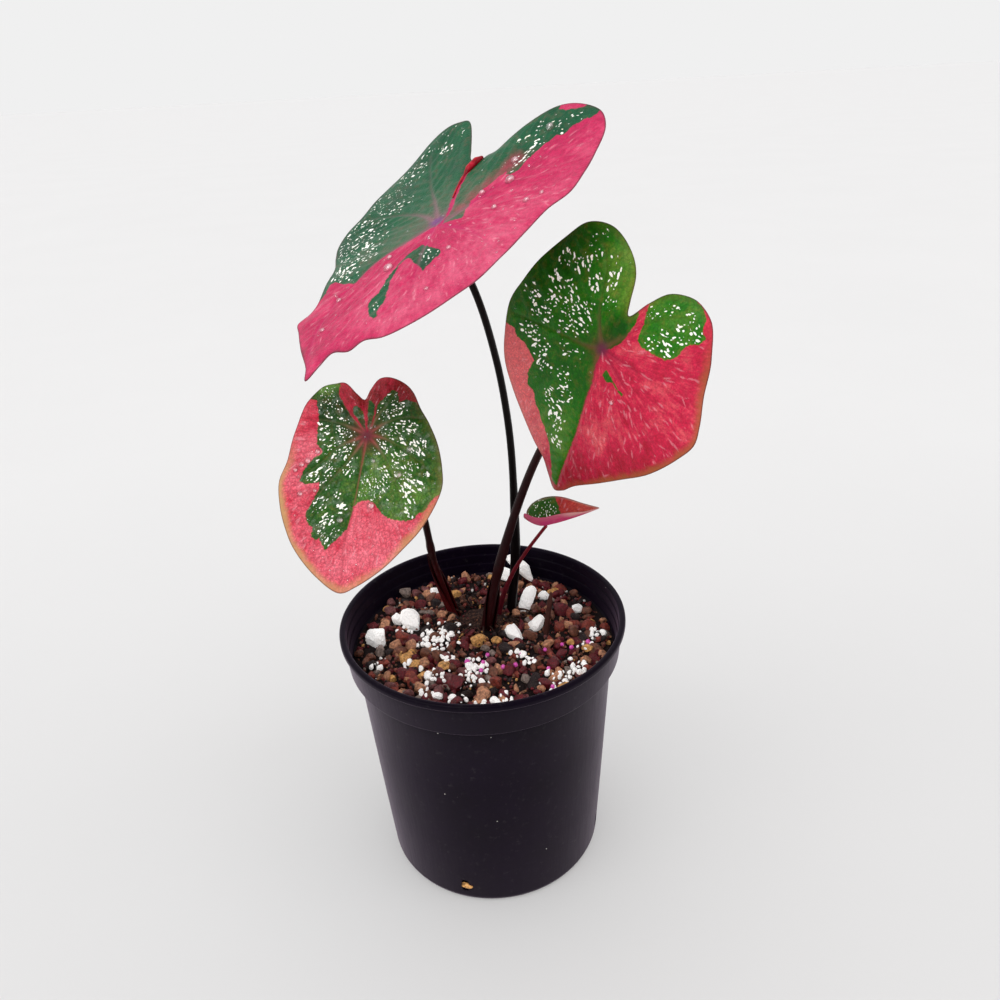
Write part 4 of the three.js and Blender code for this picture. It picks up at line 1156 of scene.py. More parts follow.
LEAVES["left"] = {
    "at": (-35.9, -22, 209.2), "up": (-0.252, -0.766, 0.591), "tip": (-0.146, -0.574, -0.806),
    "form": (0.267, -0.061, 0.019, 0.156, 5), "ripples": (0.9, 9, 0.6),
    "outline": [
        (55.5, -0.5), (50.5, -10), (41.5, -19.5), (34, -24.2), (26, -27.6), (18, -29.2),
        (10, -27.2), (0, -26.2), (-6, -24.6), (-12, -22), (-17.5, -18), (-18.7, -13),
        (-18.8, -9.5), (-15, -5), (-13.3, -2.6), (-17, -0.8), (-20.5, 2.4), (-21, 7), (-19, 12.3),
        (-14.7, 16.9), (-9, 20), (-4, 23.5), (3, 27.4), (12, 30), (18, 30.8), (24, 29.4),
        (33, 25), (39.5, 19.8), (47, 13), (53, 5),
    ],
    "ribs": [
        [(-0.5, 0), (7, -0.5), (15, -1), (25.5, -1.5), (30, -2), (37.5, -2.5), (46, -1.5),
         (53.5, -0.5)],
        [(-0.5, 0), (-6, -5.5), (-11, -9.5), (-16, -13)],
        [(-0.5, 0), (-6, 2.5), (-11.5, 6.5), (-17, 10)],
        [(-0.5, 0), (4.5, -10), (10, -15), (16.5, -22)],
        [(-0.5, 0), (7, -4.5), (15, -10), (26, -17.5)],
        [(-0.5, 0), (5, 5.5), (12, 10.5), (19.5, 14.5), (30, 19)],
        [(-0.5, 0), (1, 7), (5, 15), (9.5, 21.5), (15, 27.5)],
        [(-0.5, 0), (-4.5, 6.5), (-6.5, 14), (-6, 20)],
        [(-0.5, 0), (-3.5, -8), (-5, -15), (-5, -22)],
    ],
    "green": [
        [(-12, -19.5), (-13.5, -27), (-26, -24), (-24, -11.5), (-18, -11.5), (-15, -12),
         (-11, -9.5), (-7.5, -7), (-4.5, -4), (-1, 0), (-3, 1.3), (-8.5, 2.8), (-11, 3),
         (-13, 4.5), (-16.5, 8), (-16, 10), (-12, 11.5), (-12.5, 14), (-11.5, 18), (-9, 20.5),
         (-8, 26), (4, 36), (18, 38), (21.5, 29), (23.5, 27.5), (27, 25.5), (27.5, 23.5),
         (30, 21.5), (30, 19), (30, 16.5), (29.5, 12.5), (27.5, 9.5), (24, 6), (23, 3.5), (24, 0),
         (25.5, -1.5), (30, -2), (33.5, -2.5), (37, -5), (39, -7), (41.5, -8.5), (37.5, -11.5),
         (38, -13), (37, -14.5), (33.5, -14.5), (33, -16), (30, -17.5), (28, -17.5), (23.5, -16),
         (19.5, -14.5), (17.5, -15), (18, -17), (18.5, -19.5), (17.5, -22), (15, -21.5),
         (11.5, -20), (9, -18), (6.5, -15), (5.5, -16), (3.5, -17.5), (-1, -18), (-4, -18),
         (-7, -18)],
        [(-10.5, -6), (-10.8, -4.7), (-10, -3.5), (-8, -2.2), (-5, -1.2), (-1.5, -0.3), (-2, -1),
         (-4.5, -3.2), (-6.5, -4.4), (-8.5, -6)],
        [(-13, -0.6), (-13, 0.2), (-11, 1.9), (-8, 2), (-4, 1.4), (-1, 0.6), (-3, 0.1),
         (-6.5, -0.2), (-10, -0.6)],
    ],
    "pink": [],
    "pink_wash": [
        (-16, -8, 6, 0.0), (-18, 8, 5, 0.05), (-14, 14, 6, -0.3), (-12, 0, 6, 0.0),
        (-6, -22, 8, 0.6), (12, -22, 12, 0.85), (40, 0, 16, 0.75), (30, 10, 10, 0.8),
        (48, 2, 8, 0.85),
    ],
    "green_wash": [
        (-10, -12, 6, -0.1), (-18, -16, 4, 0.9), (-9, 12, 6, 0.1), (-3, -6, 5, 0.0),
        (10, -8, 12, 0.4), (16, 14, 12, 0.75), (2, 24, 7, 0.3), (14, 28, 6, 0.45),
        (32, -8, 9, 0.45), (18, 3, 6, 0.9),
    ],
    "flecks": (1.05, 0.42, 0.22), "streaks": 60,
    "zones": [
        (-12.5, -15, 4.5, 0.9, 60, 0.8), (-10, -19, 2.5, 0.7, 65, 0.8),
        (-10, -10.5, 2.5, 0.7, 60, 0.9), (-4, -15, 3.5, 0.6, 75, 1.1),
        (-3.5, -9.5, 3.5, 0.85, 65, 1), (-1.5, -6, 2, 0.7, 65, 0.9), (1.5, -14, 3, 0.5, -65, 0.9),
        (2.5, -7, 3, 0.9, -55, 1), (6, -11.5, 3, 0.9, -60, 0.9), (7, -5.5, 3, 1, -30, 0.9),
        (10.5, -14, 3, 0.7, -60, 0.9), (12.5, -5.5, 2.5, 0.85, -5, 1.1),
        (14, -11.5, 2.5, 1, -40, 1), (16, -18.5, 3.5, 0.8, -60, 1.1),
        (18.5, -13.5, 2.5, 0.9, -30, 1), (21.5, -8, 1.5, 0.8, -25, 1.7),
        (24.5, -13, 3, 0.7, -40, 1), (28.5, -16.5, 3, 0.5, -30, 0.9),
        (27, -6, 2.5, 0.85, -60, 1.5), (31, -9.5, 2.5, 1, -65, 1.4), (35, -13, 3, 0.8, -5, 1),
        (36.5, -7, 3, 0.8, -30, 1), (39.5, -9, 2.5, 1, -35, 1.2), (34, -4.5, 1.5, 0.6, -30, 0.9),
        (-12.5, 7, 5, 0.9, -65, 0.9), (-9, 4.5, 3, 0.85, -55, 0.8), (-9, 12.5, 2.5, 0.6, -65, 1),
        (-3.5, 10, 4.5, 0.75, 80, 1), (-2.5, 17, 2.5, 0.8, 70, 1.2), (-2, 5, 2.5, 0.8, 60, 0.9),
        (2, 13.5, 2.5, 0.8, 75, 1.3), (4.5, 20.5, 3.5, 0.9, 45, 1.4),
        (4.5, 6.5, 3.5, 0.85, 50, 1), (7.5, 13, 3, 0.9, 55, 1), (12, 11, 3.5, 1, 65, 1.2),
        (12, 17.5, 3, 0.7, 55, 1.1), (12.5, 6, 2.5, 0.5, 45, 0.8), (10, 22, 2, 0.6, 40, 0.9),
        (14, 25, 2, 0.8, 20, 1.2), (17, 3, 3.5, 1, 40, 0.9), (18, 8.5, 2.5, 0.85, 40, 1),
        (18, 17.5, 3.5, 0.9, 70, 1.4), (18, 22, 2.5, 0.85, 60, 1.2), (21, 0.5, 2, 0.9, 25, 0.9),
        (21, 7, 3, 0.6, 40, 0.8), (23.5, 18.5, 3, 0.9, 60, 1.3), (28.5, 19.5, 2.5, 1, 75, 1.3),
        (23, 12.5, 3, 0.3, 50, 0.7),
    ],
    "blush": [],
    "drops": [
        (6.5, -17, 0.9), (10, -20, 1.0), (11.5, -22, 0.9), (13.5, -24, 0.8), (22, -21, 0.9),
        (20.5, -16, 0.7), (25, 5, 1.3), (30.5, -5.5, 1.1), (14, 14, 1.3), (5, 17, 1.0),
        (9, 3.5, 0.8),
    ],
    "edge_wash": [
        (24, -28, 14, 1.1), (-2, -26, 12, 0.0), (44, -8, 12, 1.0), (52, 2, 9, 0.6),
        (34, 22, 12, 0.8), (-14, 0, 18, 0.0), (10, 28, 12, 0.2),
    ],
    "finish": {
        "pinks": [(122, 12, 20), (200, 42, 68), (236, 118, 134)],
        "greens": [(10, 50, 0), (36, 92, 14), (100, 144, 56)], "rib": (160, 40, 58),
        "rib_green": (142, 116, 88), "heart": (92, 18, 40), "edge": (192, 158, 100),
        "edge_width": 1.9, "halo": (86, 26, 20), "reach": 10, "vein_width": (0.34, 0.5, 9),
        "vein_end": 13, "grain": 0.26, "painted_sheen": 0.3, "crimson": 0.8,
    },
}
LEAVES["small"] = {
    "at": (28.9, 5, 154.4), "up": (-0.1, -0.2, 0.97), "tip": (0.985, 0.12, 0.03),
    "form": (0.5, 8, 0, 1.15, 1.4), "near": 7.5, "ripples": (0.15, 5, 0.4),
    "outline": [
        (22.4, 0), (15.5, -0.9), (7.5, -1.5), (0, -1.6), (-5.2, -1.5), (-8.8, -1.2), (-9, -0.6),
        (-3, -0.3), (-2.8, 0.5), (-6.4, 1.2), (-7.2, 2.6), (-5.6, 5.2), (-3, 7.2), (1, 8.1),
        (7.5, 7.4), (15.5, 4),
    ],
    "ribs": [
        [(0, 0), (10, 0), (21, 0)],
    ],
    "green": [
        [(-14, 0.4), (-14, 13), (5.5, 13), (6.5, 4), (7, 0.3)],
    ],
    "pink": [], "pink_wash": [(0, -5, 8, 0.5), (16, 0, 6, 0.7), (10, 4, 5, 0.2)],
    "green_wash": [(0, 4, 6, 0.4)], "flecks": (0.9, 0.2, 0.14), "streaks": 10, "blush": [],
    "zones": [(2.5, 4.6, 2.6, 1, 60, 1), (-2, 3.5, 5, 0.55, 30, 0.9)], "drops": [],
    "edge_wash": [(0, 6, 6, 0.2), (-3, -1.4, 6, 0.15), (15, -1, 6, 1.0)],
    "finish": {
        "pinks": [(150, 34, 30), (192, 62, 54), (214, 116, 96)],
        "greens": [(20, 66, 8), (44, 100, 20), (84, 130, 50)], "rib": (170, 40, 80),
        "rib_green": (120, 90, 80), "heart": (150, 40, 80), "edge": (226, 184, 168),
        "edge_width": 0.5, "halo": (60, 70, 20), "reach": 2, "under": ((206, 62, 118), 0.8),
        "vein_width": (0.25, 0.2, 5), "vein_end": 20, "grain": 0.15, "painted_sheen": 0.0, "crimson": 0.3,
    },
}


def in_parts(measure, x, y, parts):
    """A measure of every place x, y, taken over that many parts of them in turn. It is given
    columns of x and y, to compare with rows of points."""
    columns = zip(*(np.array_split(m.reshape(-1, 1), parts) for m in (x, y)))
    return np.concatenate([measure(*c) for c in columns]).reshape(x.shape)


def nearest(places, x, y):
    """The distance from each x, y to the nearest of the places."""
    return in_parts(lambda u, v: np.hypot(u - places[:, 0], v - places[:, 1]).min(1), x, y, 60)


def depth_inside(outline, x, y):
    """How far each place lies inside a closed outline, less than 0 outside: the distance to the
    nearest side, its sign from the number of sides that a line towards +x crosses."""
    a = np.asarray(outline, float)
    b = np.roll(a, -1, 0)
    side = b - a
    long = (side**2).sum(1)

    def depth(px, py):
        u, v = px - a[:, 0], py - a[:, 1]
        t = np.clip((u * side[:, 0] + v * side[:, 1]) / long, 0, 1)
        far = np.hypot(u - t * side[:, 0], v - t * side[:, 1]).min(1)
        spans = (a[:, 1] > py) != (b[:, 1] > py)
        with np.errstate(divide="ignore", invalid="ignore"):
            cross = a[:, 0] + v * side[:, 0] / side[:, 1] > px
        return np.where((spans & cross).sum(1) % 2 == 1, far, -far)

    return in_parts(depth, x, y, 24)


def depth_in_green(leaf, x, y):
    """The depth inside the green: the most over the green outlines, and no more than the distance
    outside each pink one."""
    made = np.max([depth_inside(o, x, y) for o in leaf["green"]], 0)
    for outline in leaf["pink"]:
        made = np.minimum(made, -depth_inside(outline, x, y))
    return made


# The lattices' cells: for distances to veins, and finer for flecks. Veins are sought up to
# VEIN_REACH away, and no fleck reaches further than FLECK_REACH.
VEIN_PITCH, FLECK_PITCH, VEIN_REACH, FLECK_REACH = 0.3, 0.2, 3.0, 2.6


class Lattice:
    """Square cells over a blade, for what lies on it: distances to veins and depths in flecks."""

    def __init__(self, pitch, half=84.0):
        self.pitch, self.half, self.count = pitch, half, int(2 * half / pitch) + 2

    def around(self, places, reach):
        """The cells within reach of each place, and how far each lies from it in x and y."""
        w = int(reach / self.pitch) + 1
        di, dj = (m.ravel() for m in np.mgrid[-w : w + 1, -w : w + 1])
        cell = np.round((places + self.half) / self.pitch).astype(int)
        i = np.clip(cell[:, :1] + di, 0, self.count - 1)
        j = np.clip(cell[:, 1:] + dj, 0, self.count - 1)
        u, v = (k * self.pitch - self.half for k in (i, j))
        return i, j, u - places[:, :1], v - places[:, 1:]

    def distance(self, places):
        """For each cell the distance to the nearest place, up to the reach of the veins."""
        field = np.full((self.count, self.count), VEIN_REACH)
        i, j, u, v = self.around(places, VEIN_REACH)
        np.minimum.at(field, (i, j), np.hypot(u, v))
        return field

    def flecks(self, places, long, wide, headings):
        """For each cell the depth inside the flecks: wide·(1 - sqrt((u/long)² + (v/wide)²)), with u
        along a fleck and v across it."""
        field = np.full((self.count, self.count), -1.0)
        i, j, u, v = self.around(places, FLECK_REACH)
        c, s = np.cos(headings)[:, None], np.sin(headings)[:, None]
        along, across = (u * c + v * s) / long[:, None], (v * c - u * s) / wide[:, None]
        np.maximum.at(field, (i, j), wide[:, None] * (1 - np.hypot(along, across)))
        return field

    def read(self, field, x, y):
        """The field at any place, blended between its cells."""
        u, v = (x + self.half) / self.pitch, (y + self.half) / self.pitch
        i, j = np.floor(u).astype(int), np.floor(v).astype(int)
        s, t = u - i, v - j
        near = field[i, j] * (1 - t) + field[i, j + 1] * t
        return near * (1 - s) + (field[i + 1, j] * (1 - t) + field[i + 1, j + 1] * t) * s


class Blade:
    """The curved surface of one leaf."""

    def __init__(self, leaf, around):
        self.leaf = leaf
        self.margin = line_through(leaf["outline"], around, True)
        self.up = unit(np.array(leaf["up"], float))
        tip = np.array(leaf["tip"], float)
        self.tip = unit(tip - self.up * (tip @ self.up))
        self.across = np.cross(self.up, self.tip)
        turn = np.arctan2(self.margin[:, 1], self.margin[:, 0])
        order = np.argsort(turn)
        self.turns, self.reach = turn[order], np.hypot(*self.margin.T)[order]

    def share(self, x, y):
        """How far a place lies from the petiole, as a share of the way to the margin."""
        edge = np.interp(np.arctan2(y, x), self.turns, self.reach, period=TURN)
        return np.hypot(x, y) / edge

    def height(self, x, y):
        """Droop·x² towards the tip or lobes·x² behind it, plus arch·y² (each per 100 mm), plus fold
        times the distance from the midrib rounded off over the crease (steeper on the near side of
        a folded leaf), plus the margin's ripples."""
        droop, lobes, arch, fold, crease = self.leaf["form"]
        high, waves, phase = self.leaf["ripples"]
        turn = np.arctan2(y, x)
        ripple = high * np.sin(waves * turn + phase) * self.share(x, y) ** 4
        ripple = ripple * np.sin(turn / 2) ** 2
        bend = np.where(x > 0, droop, lobes) * x * x / 100 + arch * y * y / 100
        fold = np.where(y < 0, self.leaf.get("near", fold), fold)
        return bend + fold * (np.hypot(y, crease) - crease) + ripple

    def place(self, x, y, lift=0.0):
        """The point above x, y, lifted along the surface's normal."""
        d = 0.3
        slope_x = (self.height(x + d, y) - self.height(x - d, y)) / (2 * d)
        slope_y = (self.height(x, y + d) - self.height(x, y - d)) / (2 * d)
        high = self.height(x, y)
        x, y, high, lift, slope_x, slope_y = (
            np.asarray(m, float)[..., None] for m in (x, y, high, lift, slope_x, slope_y))
        normal = unit(self.up - slope_x * self.tip - slope_y * self.across)
        flat = np.array(self.leaf["at"]) + x * self.tip + y * self.across
        return flat + high * self.up + lift * normal

    def veins(self):
        """Places on the ribs, and on the side veins that leave both sides of them. A side vein sets
        out at 52° from its rib, turns towards the rib's end by 30° in 30 mm, and stops near the
        margin or where another rib is nearer."""
        step, apart, shift = 0.25, 22, 8
        ribs = []
        for rib in self.leaf["ribs"]:
            long = np.linalg.norm(np.diff(rib, axis=0), axis=1).sum()
            ribs.append(line_through(rib, max(12, int(long / step))))
        everything = np.vstack(ribs)[::3]
        owner = np.concatenate([np.full(len(r), k) for k, r in enumerate(ribs)])[::3]
        t = np.arange(0, 44, step)
        bend = math.radians(52) - math.radians(30) * t / 30
        places = []
        for k, rib in enumerate(ribs):
            head = np.arctan2(*np.gradient(rib, axis=0).T[::-1])
            starts = np.arange(14, len(rib) - 8, apart if k else apart + 3)
            for side in (-1, 1):
                at = starts + (shift if side > 0 else 0)
                at = at[at < len(rib) - 6]
                if not len(at):
                    continue
                angle = head[at][:, None] + side * bend
                way = np.stack([np.cos(angle), np.sin(angle)], -1)
                path = rib[at][:, None] + np.cumsum(way, 1) * step
                gap = np.linalg.norm(path[:, ::4, None] - everything, axis=-1)
                own = np.where(owner == k, gap, 99).min(2)
                other = np.where(owner != k, gap, 99).min(2)
                clear = np.repeat((other > own * 0.55) & (other > 1.2), 4, 1)[:, : len(t)]
                clear &= self.share(*np.moveaxis(path, -1, 0)) < 0.955
                places.append(path[np.logical_and.accumulate(clear, 1)])
        return np.vstack(ribs), np.vstack(places)


def blended(washes, x, y, start):
    """The washes' tones at each place, weighed by exp(-d²/reach²), over a start tone."""
    total, weight = start * 0.15, 0.15
    for cx, cy, reach, tone in washes:
        w = np.exp(-((x - cx) ** 2 + (y - cy) ** 2) / reach**2)
        total, weight = total + w * tone, weight + w
    return total / weight


def leaf_finish(name, p, under):
    """A blade's skin: green and pink blotches with ragged borders, ribs and side veins, a net of
    fine veins, cream flecks and pale streaks, a purple heart at the petiole and a thin coloured
    margin. On the upper side the flecks glow a little, a painted light, and round each listed drop
    lie a painted shadow ring and a painted pool of light. The pale streaks are partly a pale
    pattern and partly painted highlights of tiny drops, and on some leaves pale patches on the
    green are painted sheen. Underneath it is the same, but dull and pale."""
    # Painted light: on the upper side the emission makes the cream flecks glow a little, to stay
    # bright where the leaf is in shade.
    t = Finish(name, Specular_IOR_Level=0.12 if under else 0.16,
               Emission_Strength=0.0 if under else 0.2)
    place, out, rim = t.place(), t.own("out"), t.own("rim")
    pinks, greens = ([colour(*c) for c in p[k]] for k in ("pinks", "greens"))
    rib, rib_green, margin = (colour(*p[k]) for k in ("rib", "rib_green", "edge"))
    ways = [t.times(t.own(k), 30.0) for k in ("way_x", "way_y")] + [t.times(out, 0.16)]
    drawn = t.sway(t.add("CombineXYZ", dict(enumerate(ways))).outputs[0], 1.0, 3.0, 0.65)
    drift = t.sway(place, 0.11, 4.0, 0.6)
    dapple = t.sway(place, 0.45, 3.0, 0.6)
    skins = []
    for tones, own, streaky in ((pinks, "pink_tone", 0.6), (greens, "green_tone", 0.22)):
        tone = t.plus(dapple, 0.5, t.plus(drawn, streaky, t.own(own)))
        skins.append(t.ramp(t.plus(drift, 0.8, tone), list(zip((0.0, 0.5, 1.0), tones))))
    blotch = t.group("Ragged border", Place=place, Distance=t.own("green"), Softness=0.22,
                     Rag=1.5, Scale=0.8)
    halo = t.step(out, 0.5, float(p["reach"]), 0.85, 0.0)
    halo = t.times(halo, t.step(drift, -0.2, 0.2, 0.75, 1.0))
    skin = t.mix(blotch, skins[0], t.mix(halo, skins[1], colour(*p["halo"])))
    if not under:
        blush = t.math("MULTIPLY_ADD", dapple, 0.5, t.own("blush"), True)
        skin = t.mix(blush, skin, pinks[1])
    # Painted sheen: pale grey-green patches on the green stand in for a glossy reflection.
    painted_sheen = t.step(t.noise(place, 0.3, 5.0, 0.65), 0.5, 0.68, 0.0, p["painted_sheen"])
    skin = t.mix(t.times(painted_sheen, blotch), skin, colour(160, 176, 160))
    mottle = t.group("Cloudy tone", Place=place, Scale=0.55, Low=0.88, High=1.12)
    grain = t.step(t.noise(place, 1.5, 3.0, 0.6), 0.32, 0.68, 1 - p["grain"], 1 + p["grain"])
    skin = t.shaded(skin, t.times(mottle, grain))
    net = t.step(t.cells(place, 0.62, "DISTANCE_TO_EDGE"), 0.02, 0.12, 1.0, 0.0)
    lines = t.math("MAXIMUM", t.times(net, p["grain"] * 1.5), t.times(t.own("side"), 0.16))
    skin = t.mix(lines, skin, t.mix(blotch, rib, greens[0]))
    crimson = t.math("MAXIMUM", t.own("midrib"), t.step(out, 2.0, 9.0, 1.0, 0.0), clamp=True)
    vein_skin = t.mix(t.times(crimson, p["crimson"]), rib_green, rib)
    skin = t.mix(t.times(t.own("vein"), 0.8), skin, t.mix(blotch, rib, vein_skin))
    skin = t.mix(t.step(out, 0.5, 3.6, 0.85, 0.0), skin, colour(*p["heart"]))
    chip = t.sway(place, 2.6)
    fleck = t.step(t.plus(chip, 0.3, t.own("fleck")), 0.0, 0.09)
    streak = t.step(t.plus(chip, 0.4, t.own("streak")), -0.05, 0.22)
    cream = t.ramp(t.noise(place, 0.9), shades((0.3, 232, 232, 204), (0.5, 254, 254, 248)))
    # The pale streaks are partly a pale pattern in the pink and partly painted highlights of tiny
    # water drops.
    skin = t.mix(t.times(streak, 0.26), skin, colour(252, 190, 200))
    skin = t.mix(t.times(fleck, 0.25 if under else 0.96), skin, cream)
    edge = t.plus(drift, p["edge_width"] * 2.5, rim)
    edge = t.times(t.step(edge, 0.1, p["edge_width"] * 1.6, 0.85, 0.0), t.own("edging"))
    skin = t.mix(edge, skin, margin)
    skin = t.mix(t.step(rim, 0.12, 0.4, 0.6, 0.0), skin, colour(70, 40, 44))
    if under:
        shade, share = p.get("under", ((176, 132, 140), 0.42))
        skin = t.mix(share, skin, colour(*shade))
        skin = t.mix(t.times(edge, share), skin, margin)
    else:
        # Painted light round the drops: a painted shadow ring at each drop's edge and a painted
        # pool of light inside it.
        wet = t.own("wet")
        skin = t.mix(t.times(wet, -0.55, True), skin, colour(70, 24, 34))
        skin = t.mix(t.times(wet, 0.5, True), skin, colour(255, 225, 230))
    relief = t.plus(t.noise(place, 1.7, 4.0), 0.5, t.times(net, -0.55))
    gloss = (0.52, 0.64) if under else (0.34, 0.46)
    # The emission colour is the flecks' painted glow.
    return t.feed(Base_Color=skin, Emission_Color=t.mix(fleck, (0.0, 0.0, 0.0), cream),
                  Roughness=t.step(mottle, 0.88, 1.12, *gloss),
                  Normal=t.bump(relief, 0.45, 0.00022))


def lip_finish():
    """Glossy crimson, a little cloudy."""
    stops = shades((0.3, 120, 0, 18), (0.55, 176, 6, 34), (0.75, 206, 34, 66))
    return grainy("Crimson lip", 0.2, (1, 1, 1), (0.5, 4.0, 0.6), stops, (0.3, 0.7, 0.3, 0.42),
                  (0.3, 0.0002))


# The rolled lip at the notch of the top leaf: its way down the notch, and its radii.
LIP = [(-31.4, -2.2), (-29.5, -2.9), (-26.5, -3.6), (-23.5, -3.9), (-18, -3.2), (-12, -1.6)]
LIP_RADII = [(0, 0.8), (0.1, 1.45), (0.3, 1.35), (0.42, 0.6), (1, 0.3)]


class CALADIUM_OT_leaves(bpy.types.Operator):
    """Make the leaves: both faces of each blade as rings round the petiole, closed at the margin"""

    bl_idname = "caladium.leaves"
    bl_label = "Leaves"

    def execute(self, context):
        s = context.scene.caladium_leaves
        for name in ("top", "right"):
            self.leaf(name, s.around, s.rings)
        self.leaf("left", s.around * 5 // 6, s.rings * 5 // 6)
        self.leaf("small", 260, 60)
        self.lip()
        return {"FINISHED"}

    def lip(self):
        """The rolled lip at the notch of the top leaf: a round section carried down the notch, wide
        at its upper end, and fading into the rib."""
        blade = Blade(LEAVES["top"], 400)
        radii = ramped(np.linspace(0, 1, 60), LIP_RADII)
        path = blade.place(*line_through(LIP, 60).T, radii * 0.55 + 0.1)
        shell = Shell().add(*tube(path, radii, 20, 0.8, blade.up))
        shell.make("notch_lip", [lip_finish()], "leaf")

    def leaf(self, name, around, count):
        """Both faces of a blade. The upper lies above the surface by half the thickness, puckers
        up between the side veins and sinks along the ribs; the lower follows the puckers and
        stands out along the ribs."""
        leaf = LEAVES[name]
        blade = Blade(leaf, around)
        small = name == "small"
        ribs, sides = blade.veins()
        lattice, fine = Lattice(VEIN_PITCH), Lattice(FLECK_PITCH)
        from_rib = lattice.distance(ribs)
        from_midrib = lattice.distance(line_through(leaf["ribs"][0], 400))
        from_side = lattice.distance(np.vstack([ribs, sides]))
        flecks, streaks = self.spots(name, blade, from_rib)

        top = np.linspace(0, 1, count + 1)[1:]
        bottom = np.linspace(1, 0, count // 7 + 1)[:-1]
        share = np.concatenate([top, [1.0015], bottom])[:, None]
        face = np.concatenate([np.ones(len(top)), [0.0], -np.ones(len(bottom))])[:, None]
        x, y = (share * blade.margin[:, k] for k in (0, 1))
        x, y = (np.vstack([m, np.zeros((2, around))]) for m in (x, y))
        face = np.vstack([face, [[1.0]], [[-1.0]]]) + 0 * x
        rib, side, mid = (lattice.read(m, x, y) for m in (from_rib, from_side, from_midrib))
        rim = nearest(blade.margin, x, y)
        thick = 0.12 + (0.06 if small else 0.16) * smooth(rim, 0.0, 3.0)
        soft = smooth(rim, 0.4, 4.0) * smooth(np.hypot(x, y), 0.5, 4.0) * (0.3 if small else 1.0)
        pucker = 0.34 * (1 - np.exp(-((side / 1.5) ** 2))) * soft
        groove = 0.26 * np.exp(-((rib / 0.55) ** 2)) * soft
        ridge = (0.5 * np.exp(-((rib / 0.75) ** 2)) + 0.14 * np.exp(-((side / 0.4) ** 2))) * soft
        lift = np.where(face > 0, thick + pucker - groove, pucker * 0.8 - thick - ridge)
        lift = np.where(face == 0, 0, lift)
        points = blade.place(x, y, lift)
        points, faces = closed_rows(points[:-2], points[-2:, 0])
        grid = len(share) * around
        keep = np.append(np.arange(grid), [grid, grid + around])
        turn, out = np.arctan2(y, x), np.hypot(x, y)
        drawn = 0.6 * lumpy(out / 11, turn * 6, 1.0, 41) + 0.5 * lumpy(out / 5, turn * 15, 1.0, 42)
        drawn = drawn * smooth(out, 2, 12) * 0.14
        thin, extra, fade = leaf["finish"]["vein_width"]
        vein_width = thin + extra * np.exp(-out / fade)
        midrib = np.exp(-((mid / vein_width) ** 2))
        faded = 0.85 * smooth(out, 3, leaf["finish"]["vein_end"]) * (1 - 0.7 * midrib)
        blush = [a * np.exp(-((x - u) ** 2 + (y - v) ** 2) / r**2) for u, v, r, a in leaf["blush"]]
        values = {
            "green": depth_in_green(leaf, x, y), "rim": rim, "out": out,
            "way_x": np.cos(turn), "way_y": np.sin(turn),
            "blush": np.clip(np.sum(blush, 0), 0, 1) + 0 * x,
            "vein": np.exp(-((rib / vein_width) ** 2)) * (1 - faded), "midrib": midrib,
            "side": np.exp(-((side / 0.35) ** 2)) * smooth(rim, 0.8, 3),
            "fleck": fine.read(flecks, x, y), "streak": fine.read(streaks, x, y),
            "pink_tone": blended(leaf["pink_wash"], x, y, 0.5) + drawn,
            "green_tone": blended(leaf["green_wash"], x, y, 0.45) + drawn,
            "edging": blended(leaf["edge_wash"], x, y, 0.2), "wet": self.wet(blade, x, y),
        }
        shell = Shell().add(points, faces, 0, **{k: v.ravel()[keep] for k, v in values.items()})
        under = (faces[0][:, 0] // around) >= len(top)
        shell.finish = [under.astype(int), np.zeros(around), np.ones(around)]
        sides = (("", False), (" underside", True))
        skins = [leaf_finish(f"Leaf {name}{side}", leaf["finish"], low) for side, low in sides]
        shell.make(f"blade_{name}", skins, "leaf", f"leaf_{name}")

    def wet(self, blade, x, y):
        """The painted light round the drops: less than 0 in a painted shadow ring at a drop's edge,
        more than 0 in a painted pool of light where the drop gathers light, a third of its radius
        away from the window's side."""
        way = -unit(np.array([WINDOW @ blade.tip, WINDOW @ blade.across]))
        made = np.zeros(x.shape)
        for u, v, r in blade.leaf["drops"]:
            near = np.exp(-((np.hypot(x - u, y - v) / r - 1) ** 2) / 0.04)
            glow = np.hypot(x - u - way[0] * r * 0.4, y - v - way[1] * r * 0.4) / (0.42 * r)
            made = made - near + 1.5 * np.exp(-(glow**2))
        return made

